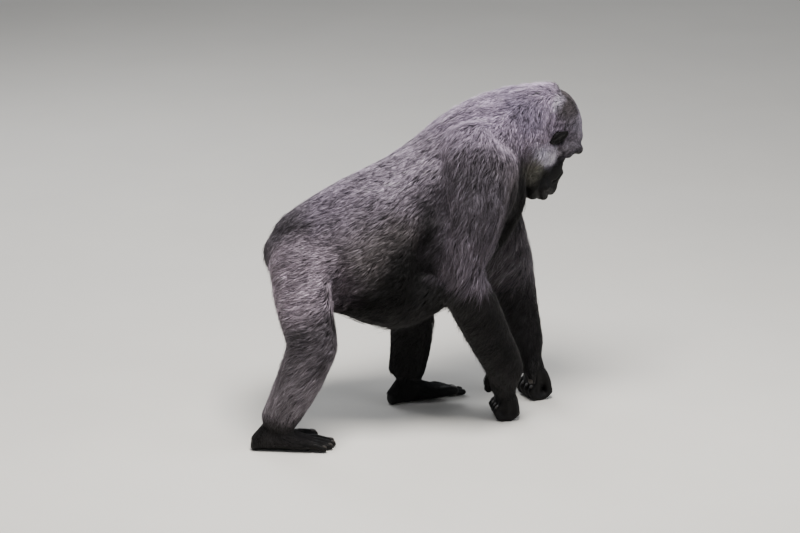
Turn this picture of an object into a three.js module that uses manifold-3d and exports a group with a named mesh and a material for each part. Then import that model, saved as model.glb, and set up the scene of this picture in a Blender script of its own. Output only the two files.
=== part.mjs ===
import * as THREE from 'three';
import { mergeVertices } from 'three/addons/utils/BufferGeometryUtils.js';
import Module from 'manifold-3d';

// A female western gorilla, life size, standing on the knuckles of both hands and the
// soles of both feet, head bowed. Millimetres: X forward, Y to the animal's left, Z up,
// floor at Z = 0. Every outline runs out to the tips of the coat.

const wasm = await Module();
wasm.setup();

// ---------------------------------------------------------------- driving dimensions
const gap = 0.3; // clearance left by every cut between two parts
const soleCut = 2; // depth of the flats pressed into soles and knuckles
const right = -1; // side signs along Y
const left = 1;

const head = {
  browPoint: [398, 28, 725], // glabella, where the brow ridge crosses the midline
  pitch: 51, // degrees the face looks down
  yaw: 12, // degrees the face turns to the animal's left
};
const eye = { radius: 11.5, forward: -33, side: 32, up: -34 };
const ear = { height: 56, width: 40, forward: -117, side: 84, up: -42, flare: 32, lean: 14 };
const hand = {
  spacing: 23.6, // between neighbouring fingers
  fingerRadius: 11.5,
  right: { knuckles: [170, -58], turn: -8 },
  left: { knuckles: [305, 88], turn: 10 },
};
const foot = {
  length: 236,
  toeSpacing: 22.5,
  toeRadius: 11,
  right: { heel: [-572, -112], turn: -16, bigToeLift: 2 },
  left: { heel: [-108, 132], turn: 14, bigToeLift: 18 },
};

// Back and belly of the trunk and neck: [x, z] of the spine side, [x, z] of the belly
// side, half width, and how much narrower the back is than the belly.
const trunkSections = [
  { top: [-464, 552], bottom: [-466, 436], half: 96, narrow: 0 }, // rump
  { top: [-425, 605], bottom: [-430, 376], half: 156, narrow: 0.05 }, // pelvis
  { top: [-325, 668], bottom: [-283, 320], half: 192, narrow: 0.12 }, // loin
  { top: [-208, 722], bottom: [-140, 268], half: 215, narrow: 0.16 }, // belly
  { top: [-92, 776], bottom: [-5, 318], half: 220, narrow: 0.14 }, // ribs
  { top: [12, 850], bottom: [105, 415], half: 212, narrow: 0.06 }, // chest
  { top: [98, 894], bottom: [188, 510], half: 184, narrow: 0.02 }, // withers
  { top: [185, 920], bottom: [228, 592], half: 138, narrow: 0 }, // neck
  { top: [268, 930], bottom: [238, 648], half: 98, narrow: 0, aside: -6 }, // nape
  { top: [338, 922], bottom: [276, 706], half: 70, narrow: 0, aside: 6 }, // occiput
];

// Limb sections: centre, half depth (fore and aft) and half width (across), from the
// end buried in the trunk down to the wrist or ankle.
const armSections = {
  right: [
    { at: [70, -84, 800], deep: 96, wide: 72 },
    { at: [62, -156, 765], deep: 106, wide: 76 }, // shoulder
    { at: [34, -196, 655], deep: 88, wide: 68 },
    { at: [9, -204, 552], deep: 73, wide: 62 },
    { at: [-4, -206, 490], deep: 66, wide: 58 },
    { at: [6, -203, 432], deep: 70, wide: 57 }, // elbow
    { at: [40, -186, 366], deep: 69, wide: 57 },
    { at: [94, -150, 262], deep: 61, wide: 53 },
    { at: [134, -120, 192], deep: 56, wide: 50 },
    { at: [160, -92, 140], deep: 50, wide: 49 }, // wrist
  ],
  left: [
    { at: [92, 88, 780], deep: 92, wide: 70 },
    { at: [108, 160, 752], deep: 102, wide: 74 }, // shoulder
    { at: [170, 192, 652], deep: 86, wide: 66 },
    { at: [216, 196, 556], deep: 73, wide: 60 },
    { at: [233, 192, 494], deep: 66, wide: 57 },
    { at: [241, 184, 432], deep: 75, wide: 58 }, // elbow
    { at: [251, 168, 362], deep: 75, wide: 57 },
    { at: [265, 140, 266], deep: 64, wide: 52 },
    { at: [277, 120, 194], deep: 54, wide: 49 },
    { at: [286, 106, 140], deep: 47, wide: 48 }, // wrist
  ],
};
const legSections = {
  right: [
    { at: [-405, -62, 520], deep: 88, wide: 74 },
    { at: [-416, -108, 496], deep: 100, wide: 80 }, // hip
    { at: [-424, -150, 422], deep: 90, wide: 75 },
    { at: [-418, -176, 345], deep: 79, wide: 68 },
    { at: [-416, -182, 290], deep: 72, wide: 62 }, // knee
    { at: [-446, -170, 206], deep: 66, wide: 57 },
    { at: [-476, -148, 130], deep: 56, wide: 47 },
    { at: [-502, -134, 74], deep: 50, wide: 40 }, // ankle
  ],
  left: [
    { at: [-372, 60, 500], deep: 100, wide: 80 },
    { at: [-338, 108, 484], deep: 112, wide: 86 }, // hip
    { at: [-240, 160, 440], deep: 106, wide: 80 },
    { at: [-134, 188, 384], deep: 90, wide: 70 },
    { at: [-56, 190, 318], deep: 75, wide: 63 }, // knee
    { at: [-24, 178, 222], deep: 66, wide: 57 },
    { at: [-34, 170, 140], deep: 57, wide: 47 },
    { at: [-48, 164, 78], deep: 52, wide: 41 }, // ankle
  ],
};

// Planes that part the animal: a point in each and the direction towards the far end.
const neckBase = { point: [150, 0, 720], towards: [0.97, 0, 0.24] };
const skullBase = { forward: -132, up: -42, tilt: -20 }; // in the head's own axes
const elbowCut = 5; // index of the section that each limb is cut at
const kneeCut = 4;

// ---------------------------------------------------------------- materials
function hide(colour, roughness) {
  return new THREE.MeshStandardMaterial({ color: colour, roughness, metalness: 0 });
}
const coat = { back: 0x6a626c, limb: 0x3b363d, dark: 0x1d1b1e, head: 0x5c5558 };
const bare = 0x2b2729;

// ---------------------------------------------------------------- solids
function toSolid(geometry) {
  geometry.deleteAttribute('normal');
  geometry.deleteAttribute('uv');
  const merged = mergeVertices(geometry, 1e-3);
  return new wasm.Manifold(new wasm.Mesh({
    numProp: 3,
    vertProperties: merged.attributes.position.array,
    triVerts: new Uint32Array(merged.index.array),
  }));
}

function toMesh(name, solid, material) {
  const cut = solid.getMesh();
  const geometry = new THREE.BufferGeometry();
  geometry.setAttribute('position', new THREE.BufferAttribute(cut.vertProperties, 3));
  geometry.setIndex(new THREE.BufferAttribute(cut.triVerts, 1));
  geometry.computeVertexNormals();
  const mesh = new THREE.Mesh(geometry, material);
  mesh.name = name;
  return mesh;
}

function union(solids) {
  return solids.reduce((whole, solid) => whole.add(solid));
}

// The biggest body of a cut, without the slivers that a grazing cut leaves.
function largest(solid) {
  const bodies = solid.decompose();
  return bodies.reduce((most, body) => (body.volume() > most.volume() ? body : most));
}

// A closed skin through elliptic sections. Each section has a centre, a half-axis
// vector `up`, a half-axis vector `out`, and `narrow`, which slims its upper half.
function loft(sections, options = {}) {
  const { sides = 14, steps = 2, bulge = [20, 20], caps = 2, grow = 0 } = options;
  const along = (key) => new THREE.CatmullRomCurve3(sections.map((one) => one[key]));
  const centres = along('centre');
  const ups = along('up');
  const outs = along('out');
  const last = (sections.length - 1) * steps;
  const rings = [];
  const section = (t, squeeze, shift) => {
    const place = Math.min(Math.max(t, 0), 1) * (sections.length - 1);
    const index = Math.min(Math.floor(place), sections.length - 2);
    const narrow = THREE.MathUtils.lerp(
      sections[index].narrow ?? 0,
      sections[index + 1].narrow ?? 0,
      place - index,
    );
    const up = ups.getPoint(t);
    const out = outs.getPoint(t);
    up.setLength((up.length() + grow) * squeeze);
    out.setLength((out.length() + grow) * squeeze);
    const centre = centres.getPoint(t).add(shift);
    rings.push({ centre, up, out, narrow });
  };
  const nose = (t, inward, length) => {
    const tip = centres.getPoint(t).sub(centres.getPoint(inward));
    return tip.setLength(length + grow);
  };
  const startTip = nose(0, 0.02, bulge[0]);
  const endTip = nose(1, 0.98, bulge[1]);
  for (let cap = caps; cap > 0; cap -= 1) {
    const turn = ((cap / (caps + 1)) * Math.PI) / 2;
    section(0, Math.cos(turn), startTip.clone().multiplyScalar(Math.sin(turn)));
  }
  for (let step = 0; step <= last; step += 1) {
    section(step / last, 1, new THREE.Vector3());
  }
  for (let cap = 1; cap <= caps; cap += 1) {
    const turn = ((cap / (caps + 1)) * Math.PI) / 2;
    section(1, Math.cos(turn), endTip.clone().multiplyScalar(Math.sin(turn)));
  }
  const points = [];
  for (const { centre, up, out, narrow } of rings) {
    for (let side = 0; side < sides; side += 1) {
      const turn = (side / sides) * 2 * Math.PI;
      const rise = Math.sin(turn);
      const point = centre.clone().addScaledVector(up, rise);
      point.addScaledVector(out, Math.cos(turn) * (1 - narrow * rise));
      points.push(point);
    }
  }
  const first = points.push(centres.getPoint(0).add(startTip)) - 1;
  const end = points.push(centres.getPoint(1).add(endTip)) - 1;
  return toSolid(facingOut(points, ringFaces(sides, rings.length, [first, end])));
}

// Faces between successive rings of points, closed by a point at each end.
function ringFaces(sides, rings, [first, end]) {
  const faces = [];
  const rim = (rings - 1) * sides;
  for (let side = 0; side < sides; side += 1) {
    const next = (side + 1) % sides;
    faces.push(first, next, side);
    for (let ring = 0; ring < rings - 1; ring += 1) {
      const a = ring * sides;
      const b = a + sides;
      faces.push(a + side, a + next, b + side);
      faces.push(a + next, b + next, b + side);
    }
    faces.push(end, rim + side, rim + next);
  }
  return faces;
}

// The geometry of points and faces, turned over where its faces point inwards.
function facingOut(points, faces) {
  let volume = 0;
  for (let face = 0; face < faces.length; face += 3) {
    const [a, b, c] = faces.slice(face, face + 3).map((corner) => points[corner]);
    volume += a.dot(b.clone().cross(c));
  }
  const order = volume > 0 ? faces : [...faces].reverse();
  const geometry = new THREE.BufferGeometry().setFromPoints(points);
  geometry.setIndex(order);
  return geometry;
}

// Sections of a limb: across stays level and square to the limb's own direction.
function limbSections(list) {
  const centres = list.map((one) => new THREE.Vector3(...one.at));
  return list.map((one, index) => {
    const before = centres[Math.max(index - 1, 0)];
    const after = centres[Math.min(index + 1, list.length - 1)];
    const along = after.clone().sub(before).normalize();
    const across = new THREE.Vector3(...(one.across ?? [0, 1, 0]));
    across.addScaledVector(along, -across.dot(along)).normalize();
    const up = across.clone().cross(along).setLength(one.deep);
    return { centre: centres[index], up, out: across.multiplyScalar(one.wide) };
  });
}

function limb(list, options) {
  return loft(limbSections(list), options);
}

// A round rod through points, each [x, y, z, radius].
function rod(points, options) {
  const list = points.map(([x, y, z, radius]) => ({ at: [x, y, z], deep: radius, wide: radius }));
  return limb(list, { sides: 8, steps: 1, caps: 1, ...options });
}

// Sections given by a top and a bottom point of the midline and a half width.
function profileSections(list) {
  return list.map(({ top, bottom, half, narrow, aside = 0 }) => {
    const crown = new THREE.Vector3(top[0], aside, top[1]);
    const keel = new THREE.Vector3(bottom[0], aside, bottom[1]);
    return {
      centre: crown.clone().add(keel).multiplyScalar(0.5),
      up: crown.sub(keel).multiplyScalar(0.5),
      out: new THREE.Vector3(0, half, 0),
      narrow,
    };
  });
}

// Everything on the far side of a plane.
function halfSpace(point, towards, offset) {
  const reach = 3000;
  const box = new THREE.BoxGeometry(reach, reach, reach);
  box.translate(0, 0, reach / 2 + offset);
  const normal = new THREE.Vector3(...towards).normalize();
  const turn = new THREE.Quaternion().setFromUnitVectors(new THREE.Vector3(0, 0, 1), normal);
  box.applyQuaternion(turn);
  box.translate(...point);
  return toSolid(box);
}

// A solid parted in two by a plane, with the gap between them.
function part(solid, { point, towards }) {
  return {
    near: largest(solid.subtract(halfSpace(point, towards, -gap / 2))),
    far: largest(solid.intersect(halfSpace(point, towards, gap / 2))),
  };
}

// The plane across a limb at one of its sections.
function planeAt(list, index) {
  const before = new THREE.Vector3(...list[index - 1].at);
  const after = new THREE.Vector3(...list[index + 1].at);
  return { point: list[index].at, towards: after.sub(before).normalize().toArray() };
}

// ---------------------------------------------------------------- head
// The head is shaped in its own axes: x forward from the brow, y to its left, z up.
const headPlace = new THREE.Matrix4().compose(
  new THREE.Vector3(...head.browPoint),
  new THREE.Quaternion().setFromEuler(new THREE.Euler(
    0,
    THREE.MathUtils.degToRad(head.pitch),
    THREE.MathUtils.degToRad(head.yaw),
    'ZYX',
  )),
  new THREE.Vector3(1, 1, 1),
);

function placed(solid) {
  return solid.transform(headPlace.elements);
}

// Distances to a lump with three radii and to a tapering rod through points
// [x, y, z, radius]; both are less than zero inside.
function lump(point, centre, radii) {
  const [x, y, z] = point.map((value, axis) => value - centre[axis]);
  const near = Math.hypot(x / radii[0], y / radii[1], z / radii[2]);
  const slope = Math.hypot(x / radii[0] ** 2, y / radii[1] ** 2, z / radii[2] ** 2);
  return slope > 0 ? (near * (near - 1)) / slope : -Math.min(...radii);
}

function taper(point, from, to) {
  const along = to.slice(0, 3).map((value, axis) => value - from[axis]);
  const off = point.map((value, axis) => value - from[axis]);
  const length = along.reduce((sum, value) => sum + value * value, 0);
  const dot = along.reduce((sum, value, axis) => sum + value * off[axis], 0);
  const t = Math.min(Math.max(dot / length, 0), 1);
  return Math.hypot(...off.map((value, axis) => value - along[axis] * t))
    - THREE.MathUtils.lerp(from[3], to[3], t);
}

function chain(point, points) {
  const spans = points.slice(1).map((end, index) => taper(point, points[index], end));
  return Math.min(...spans);
}

// The smaller of two distances, with the crease between them rounded over `blend`.
function soften(a, b, blend) {
  const near = Math.max(blend - Math.abs(a - b), 0) / blend;
  return Math.min(a, b) - (near * near * blend) / 4;
}

const faceForms = {
  brow: [[-12, 0, -11, 13], [-14, 22, -8, 15.5], [-24, 48, -12, 14.5], [-50, 65, -26, 11]],
  foreheadRim: [[-38, 0, 14, 17], [-41, 24, 13, 17], [-56, 46, 6, 15]],
  cheekbone: [[-40, 52, -44, 12], [-78, 66, -48, 12], [-118, 70, -40, 13]],
  jaw: [[-15, 14, -178, 23], [-64, 38, -164, 26], [-112, 50, -128, 30], [-112, 56, -84, 27]],
  upperJaw: [[-38, 25, -58, 17], [-16, 27, -98, 18], [-14, 24, -130, 20]],
  noseBridge: [[-24, 0, -28, 9], [-17, 0, -60, 9], [-4, 0, -86, 12]],
  nostrilWing: [[-3, 10, -78, 9], [-3, 28, -88, 10.5], [-5, 32, -102, 10], [3, 12, -112, 9]],
  philtrum: [[-2, 0, -94, 15], [12, 0, -120, 16]],
  upperLip: [[17, 0, -137, 15], [9, 26, -140, 14], [-18, 42, -148, 12]],
  lowerLip: [[14, 0, -163, 14], [6, 23, -163, 13], [-18, 38, -160, 11]],
};

// Distance to the surface of the head, in its own axes; both sides are alike.
function headField(x, y, z) {
  const point = [x, Math.abs(y), z];
  let depth = lump(point, [-108, 0, -8], [80, 78, 77]);
  depth = soften(depth, lump(point, [-142, 0, 18], [50, 62, 54]), 30); // crest of the occiput
  depth = soften(depth, lump(point, [-76, 0, -66], [52, 50, 60]), 20);
  depth = soften(depth, lump(point, [-46, 0, -122], [64, 44, 48]), 20);
  depth = soften(depth, lump(point, [-112, 0, -96], [66, 62, 66]), 30); // throat
  depth = soften(depth, chain(point, faceForms.jaw), 26);
  depth = soften(depth, chain(point, faceForms.cheekbone), 16);
  depth = soften(depth, chain(point, faceForms.upperJaw), 14);
  depth = soften(depth, chain(point, faceForms.foreheadRim), 18);
  depth = soften(depth, chain(point, faceForms.brow), 16);
  depth = -soften(-depth, lump(point, [-9, eye.side + 1, eye.up], [19, 17, 13]), 9); // orbit
  depth = soften(depth, chain(point, faceForms.noseBridge), 8);
  depth = soften(depth, chain(point, faceForms.nostrilWing), 9);
  depth = soften(depth, chain(point, faceForms.philtrum), 10);
  depth = soften(depth, chain(point, faceForms.upperLip), 10);
  return soften(depth, chain(point, faceForms.lowerLip), 7);
}

// Angles off the line through the nose: rings lie close over the face, wide behind it.
function ringAngles() {
  const face = { from: 4.5, to: 72, count: 14 };
  const behind = { to: 160, count: 6 };
  const angles = [];
  for (let ring = 0; ring < face.count; ring += 1) {
    angles.push(THREE.MathUtils.lerp(face.from, face.to, ring / face.count));
  }
  for (let ring = 0; ring < behind.count; ring += 1) {
    angles.push(THREE.MathUtils.lerp(face.to, behind.to, ring / (behind.count - 1)));
  }
  return angles.map(THREE.MathUtils.degToRad);
}

// The head as one skin: from a point inside it, each direction is followed inwards to
// the surface. The directions run in rings round the line through the nose.
function skull(grow) {
  const middle = new THREE.Vector3(-84, 0, -56);
  const noseLine = THREE.MathUtils.degToRad(-14);
  const reach = 250;
  const sides = 24;
  const surface = (off, turn) => {
    const direction = new THREE.Vector3(
      Math.cos(off),
      Math.sin(off) * Math.sin(turn),
      Math.sin(off) * Math.cos(turn),
    ).applyAxisAngle(new THREE.Vector3(0, 1, 0), -noseLine);
    const inside = (far) => {
      const spot = middle.clone().addScaledVector(direction, far);
      return headField(spot.x, spot.y, spot.z) < grow;
    };
    let outer = reach;
    while (!inside(outer)) outer -= 3;
    let inner = outer;
    outer += 3;
    for (let halving = 0; halving < 12; halving += 1) {
      const half = (inner + outer) / 2;
      if (inside(half)) inner = half;
      else outer = half;
    }
    return middle.clone().addScaledVector(direction, inner);
  };
  const rings = ringAngles();
  const points = [];
  for (const off of rings) {
    for (let side = 0; side < sides; side += 1) {
      points.push(surface(off, ((side + 0.5) / sides) * 2 * Math.PI));
    }
  }
  const ends = [0, Math.PI].map((off) => points.push(surface(off, 0)) - 1);
  return placed(toSolid(facingOut(points, ringFaces(sides, rings.length, ends))));
}

function nostril(side) {
  return placed(rod([[20, side * 18, -98, 7], [-8, side * 20, -93, 6]], { bulge: [4, 4] }));
}

function eyeball(side, grow) {
  const ball = new THREE.SphereGeometry(eye.radius + grow, 10, 7);
  ball.translate(eye.forward, side * eye.side, eye.up);
  return placed(toSolid(ball));
}

// A thin shell with a rolled rim, standing out backwards from the side of the head.
function earShell(side) {
  const rim = [];
  const turns = 8;
  for (let index = 0; index < turns; index += 1) {
    const turn = THREE.MathUtils.degToRad(-60 + (300 * index) / (turns - 1));
    const x = (-Math.cos(turn) * ear.width) / 2;
    const z = (Math.sin(turn) * ear.height) / 2;
    rim.push([-x, 0, z, 5]);
  }
  const helix = rod(rim, { sides: 5, bulge: [4, 4] });
  const plate = rod([[0, 0, -ear.height * 0.42, 4], [0, 0, ear.height * 0.42, 4]], {
    sides: 6,
    bulge: [3, 3],
  });
  const shell = helix.add(plate.scale([ear.width / 9, 0.8, 1]));
  const place = new THREE.Matrix4().compose(
    new THREE.Vector3(ear.forward, side * ear.side, ear.up),
    new THREE.Quaternion().setFromEuler(new THREE.Euler(
      THREE.MathUtils.degToRad(side * -8),
      THREE.MathUtils.degToRad(ear.lean),
      THREE.MathUtils.degToRad(side * -ear.flare),
    )),
    new THREE.Vector3(1, 1, 1),
  );
  return placed(shell.transform(place.elements));
}

// ---------------------------------------------------------------- hands and feet
function standing(solid, [x, y], turn) {
  const place = new THREE.Matrix4().makeRotationZ(THREE.MathUtils.degToRad(turn));
  place.setPosition(x, y, 0);
  return solid.transform(place.elements);
}

// A fist on its knuckles, x forward over the knuckle row: the finger runs down from the
// hand, folds back along the floor and curls up into the palm.
function fist(side) {
  const radius = hand.fingerRadius;
  const floor = radius * Math.cos(Math.PI / 6) - soleCut; // a six-sided finger lies on a face
  const pieces = [];
  for (let finger = 0; finger < 4; finger += 1) {
    const across = (finger - 1.5) * hand.spacing;
    const reach = [0, 4, 3, -4][finger];
    pieces.push(rod([
      [6 + reach, across * 0.96, 82, radius + 2],
      [19 + reach, across, 52, radius + 1],
      [24 + reach, across * 1.03, floor + 12, radius + 1.5],
      [9 + reach, across * 1.03, floor, radius],
      [-25, across * 1.02, floor + 1, radius - 0.5],
      [-34, across, floor + 22, radius - 1.5],
      [-22, across * 0.96, floor + 36, radius - 2.5],
    ], { sides: 6, bulge: [8, 7] }));
  }
  pieces.push(rod([
    [-26, -side * 34, 118, 17],
    [-40, -side * 50, 90, 15],
    [-38, -side * 53, 60, 12],
  ], { bulge: [8, 8] }));
  return union(pieces);
}

function palm(wrist, [x, y]) {
  return limb([
    { at: wrist, deep: 44, wide: 46 },
    { at: [(wrist[0] + x) / 2 - 8, (wrist[1] + y) / 2, 108], deep: 38, wide: 48 },
    { at: [x - 8, y, 84], deep: 33, wide: 50 },
    { at: [x - 6, y, 62], deep: 26, wide: 47 },
    { at: [x - 7, y, 20], deep: 22, wide: 48 }, // pads inside the curled fingers
  ], { sides: 8, steps: 1, caps: 1, bulge: [20, 5] });
}

// A flat foot with the heel at x = 0, x forward to the toe tips, four toes and a thick
// first toe that stands off on the inner side.
function sole(side, bigToeLift) {
  const scale = foot.length / 236;
  const body = loft(profileSections([
    { top: [12, 42], bottom: [8, -soleCut], half: 27 }, // heel
    { top: [44, 84], bottom: [40, -soleCut], half: 34 }, // under the ankle
    { top: [84, 68], bottom: [80, -soleCut], half: 36 }, // instep
    { top: [124, 47], bottom: [122, -soleCut], half: 42 },
    { top: [158, 34], bottom: [158, -soleCut], half: 43 }, // ball
  ]), { sides: 10, steps: 1, bulge: [12, 10] });
  const radius = foot.toeRadius;
  const pieces = [body];
  for (let toe = 0; toe < 4; toe += 1) {
    const across = side * (toe - 1.5) * foot.toeSpacing;
    const tip = [232, 236, 228, 212][toe] * scale;
    pieces.push(rod([
      [150, across * 0.94, radius + 9, radius + 1],
      [176, across, radius + 9, radius],
      [(tip + 176) / 2, across * 1.02, radius + 1, radius],
      [tip - radius, across * 1.04, radius - soleCut, radius - 1],
    ], { sides: 6, bulge: [8, 9] }));
  }
  pieces.push(rod([
    [78, -side * 20, 24, 20],
    [118, -side * 46, 22 + bigToeLift / 3, 18],
    [146, -side * 62, 20 + (bigToeLift * 2) / 3, 16],
    [172, -side * 70, 14 + bigToeLift, 14],
  ], { bulge: [12, 12] }));
  return union(pieces);
}

// ---------------------------------------------------------------- the whole animal
function trunkAndNeck(grow) {
  return loft(profileSections(trunkSections), { sides: 20, bulge: [26, 30], grow });
}

// Hair hanging behind and below the elbow.
function elbowFringe([x, y, z]) {
  return limb([
    { at: [x - 22, y, z + 112], deep: 66, wide: 44 },
    { at: [x - 52, y, z + 62], deep: 52, wide: 38 },
    { at: [x - 92, y, z + 24], deep: 26, wide: 24 },
  ], { sides: 8, steps: 1, caps: 1, bulge: [20, 22] });
}

const gorilla = new THREE.Group();
const wholeGrown = trunkAndNeck(gap).add(skull(gap));
const floorBlock = halfSpace([0, 0, 0], [0, 0, -1], 0);

// The head is the skull in front of a sloping plane; the neck takes what lies behind
// the plane and fits round the rest.
function buildHeadAndTrunk() {
  const spine = part(trunkAndNeck(0), neckBase);
  const tilt = THREE.MathUtils.degToRad(skullBase.tilt);
  const point = new THREE.Vector3(skullBase.forward, 0, skullBase.up).applyMatrix4(headPlace);
  const facing = new THREE.Vector3(Math.cos(tilt), 0, -Math.sin(tilt));
  facing.transformDirection(headPlace);
  const facePlane = [point.toArray(), facing.toArray()];
  const clear = skull(gap).intersect(halfSpace(...facePlane, -gap / 2));
  const neck = spine.far.add(skull(0)).subtract(clear);
  let face = skull(0).intersect(halfSpace(...facePlane, gap / 2));
  for (const side of [right, left]) {
    face = face.subtract(eyeball(side, gap)).subtract(nostril(side));
  }
  gorilla.add(toMesh('trunk', spine.near, hide(coat.back, 0.9)));
  gorilla.add(toMesh('neck', largest(neck), hide(coat.back, 0.9)));
  gorilla.add(toMesh('head', largest(face), hide(coat.head, 0.85)));
  for (const [label, side] of [['right', right], ['left', left]]) {
    const outer = largest(earShell(side).subtract(wholeGrown));
    gorilla.add(toMesh(`ear_${label}`, outer, hide(bare, 0.6)));
    gorilla.add(toMesh(`eye_${label}`, eyeball(side, 0), hide(0x2a1710, 0.15)));
  }
}

function buildArm(label, side) {
  const sections = armSections[label];
  const { knuckles, turn } = hand[label];
  const elbow = sections[elbowCut].at;
  const wrist = sections[sections.length - 1].at;
  const grip = standing(fist(side), knuckles, turn).add(palm(wrist, knuckles));
  const reach = limb(sections, { sides: 12, steps: 1, bulge: [40, 18] }).add(elbowFringe(elbow));
  const arm = largest(reach.subtract(wholeGrown));
  const upper = part(arm, planeAt(sections, elbowCut));
  const lower = part(upper.far.add(grip), { point: wrist, towards: [0.1, 0, -1] });
  gorilla.add(toMesh(`upper_arm_${label}`, upper.near, hide(coat.limb, 0.9)));
  gorilla.add(toMesh(`forearm_${label}`, lower.near, hide(coat.dark, 0.9)));
  gorilla.add(toMesh(`hand_${label}`, largest(lower.far.subtract(floorBlock)), hide(bare, 0.7)));
}

function buildLeg(label, side) {
  const sections = legSections[label];
  const { heel, turn, bigToeLift } = foot[label];
  const ankle = sections[sections.length - 1].at;
  const step = standing(sole(side, bigToeLift), heel, turn);
  const reach = limb(sections, { sides: 12, steps: 1, bulge: [40, 14] });
  const leg = largest(reach.subtract(wholeGrown));
  const upper = part(leg, planeAt(sections, kneeCut));
  const lower = part(upper.far.add(step), { point: ankle, towards: [0.25, 0, -1] });
  gorilla.add(toMesh(`thigh_${label}`, upper.near, hide(coat.back, 0.9)));
  gorilla.add(toMesh(`shank_${label}`, lower.near, hide(coat.limb, 0.9)));
  gorilla.add(toMesh(`foot_${label}`, largest(lower.far.subtract(floorBlock)), hide(bare, 0.7)));
}

buildHeadAndTrunk();
for (const [label, side] of [['right', right], ['left', left]]) {
  buildArm(label, side);
  buildLeg(label, side);
}

// The origin lies on the floor under the middle of the animal.
const box = new THREE.Box3().setFromObject(gorilla);
const middle = box.getCenter(new THREE.Vector3());
gorilla.position.set(-middle.x, -middle.y, 0);

export default gorilla;
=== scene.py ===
import math

import bpy
import numpy as np
from mathutils import Matrix, Vector
from mathutils.bvhtree import BVHTree
from mathutils.kdtree import KDTree


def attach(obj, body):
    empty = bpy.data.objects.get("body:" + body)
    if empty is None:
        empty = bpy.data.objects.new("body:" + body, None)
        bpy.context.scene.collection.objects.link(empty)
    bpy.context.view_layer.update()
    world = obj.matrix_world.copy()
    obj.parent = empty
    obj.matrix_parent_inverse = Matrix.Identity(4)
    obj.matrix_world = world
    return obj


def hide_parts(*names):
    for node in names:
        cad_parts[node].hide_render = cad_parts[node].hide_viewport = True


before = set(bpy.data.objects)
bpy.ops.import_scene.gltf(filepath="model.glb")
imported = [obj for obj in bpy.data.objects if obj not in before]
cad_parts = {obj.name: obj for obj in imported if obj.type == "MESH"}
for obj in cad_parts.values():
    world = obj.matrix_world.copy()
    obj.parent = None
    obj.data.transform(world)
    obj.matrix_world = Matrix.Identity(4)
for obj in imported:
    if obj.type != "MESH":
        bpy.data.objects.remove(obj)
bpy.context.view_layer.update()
random = np.random.default_rng(7)


def turnBy(degrees, axis):
    return Matrix.Rotation(math.radians(degrees), 3, axis)


# the head's own axes: x out of the face, y to its left, z towards the crown; millimetres
head = {"brow": (0.48273, 0.03226, 0.725), "pitch": 51, "yaw": 12}
headAxes = np.array(turnBy(head["yaw"], "Z") @ turnBy(head["pitch"], "Y"))
headOrigin = np.array(head["brow"])


def toHead(points):
    return (np.asarray(points) - headOrigin) @ headAxes * 1000


def fromHead(points):
    return np.asarray(points) / 1000 @ headAxes.T + headOrigin


# small tools


def activate(*pieces):
    bpy.ops.object.select_all(action="DESELECT")
    for piece in pieces:
        piece.select_set(True)
    bpy.context.view_layer.objects.active = pieces[-1]


def finishWith(piece, kind, **settings):
    activate(piece)
    step = piece.modifiers.new(kind.lower(), kind)
    for key, value in settings.items():
        setattr(step, key, value)
    bpy.ops.object.modifier_apply(modifier=step.name)


def linked(title, data):
    piece = bpy.data.objects.new(title, data)
    bpy.context.collection.objects.link(piece)
    return piece


def readAll(things, field, wide=3, kind=np.float32):
    flat = np.empty(len(things) * wide, kind)
    things.foreach_get(field, flat)
    return flat.reshape(-1, wide)


def placesOf(piece):
    return readAll(piece.data.vertices, "co").astype(float)


def normalsOf(piece):
    return readAll(piece.data.vertex_normals, "vector").astype(float)


def moveTo(piece, places):
    piece.data.vertices.foreach_set("co", places.astype(np.float32).ravel())
    piece.data.update()


def giveValues(mesh, name, values):
    kind, field = ("FLOAT", "value") if values.ndim == 1 else ("FLOAT_VECTOR", "vector")
    layer = mesh.attributes.new(name, kind, "POINT")
    layer.data.foreach_set(field, values.astype(np.float32).ravel())


def giveWeights(piece, name, weights):
    group = piece.vertex_groups.new(name=name)
    levels = np.round(np.clip(weights, 0, 1) * 40).astype(int)
    for level in range(1, 41):
        group.add(np.nonzero(levels == level)[0].tolist(), level / 40, "REPLACE")
    return name


def editFaces(piece, work, chosen=None):
    # runs the work on the chosen faces, or on all
    activate(piece)
    bpy.ops.object.mode_set(mode="EDIT")
    bpy.ops.mesh.select_mode(type="FACE")
    bpy.ops.mesh.select_all(action="DESELECT")
    bpy.ops.object.mode_set(mode="OBJECT")
    if chosen is None:
        chosen = np.ones(len(piece.data.polygons), bool)
    piece.data.polygons.foreach_set("select", chosen)
    bpy.ops.object.mode_set(mode="EDIT")
    work()
    bpy.ops.object.mode_set(mode="OBJECT")


def turnOutwards(piece):
    editFaces(piece, lambda: bpy.ops.mesh.normals_make_consistent(inside=False))


def unit(vectors):
    return vectors / np.maximum(np.linalg.norm(vectors, axis=1, keepdims=True), 1e-9)


def smoothStep(low, high, value):
    share = np.clip((value - low) / (high - low), 0, 1)
    return share * share * (3 - 2 * share)


def evenOut(piece, values, rounds):
    edges = readAll(piece.data.edges, "vertices", 2, np.int32)
    ends = np.concatenate([edges, edges[:, ::-1]])
    count = np.maximum(np.bincount(ends[:, 0], minlength=len(values)), 1)
    for _ in range(rounds):
        around = np.bincount(ends[:, 0], values[ends[:, 1]], minlength=len(values))
        values = (values + around / count) / 2
    return values


def mirrored(points):
    # both sides of the head folded onto its left
    spot = points.copy()
    spot[:, 1] = np.abs(spot[:, 1])
    return spot


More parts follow.
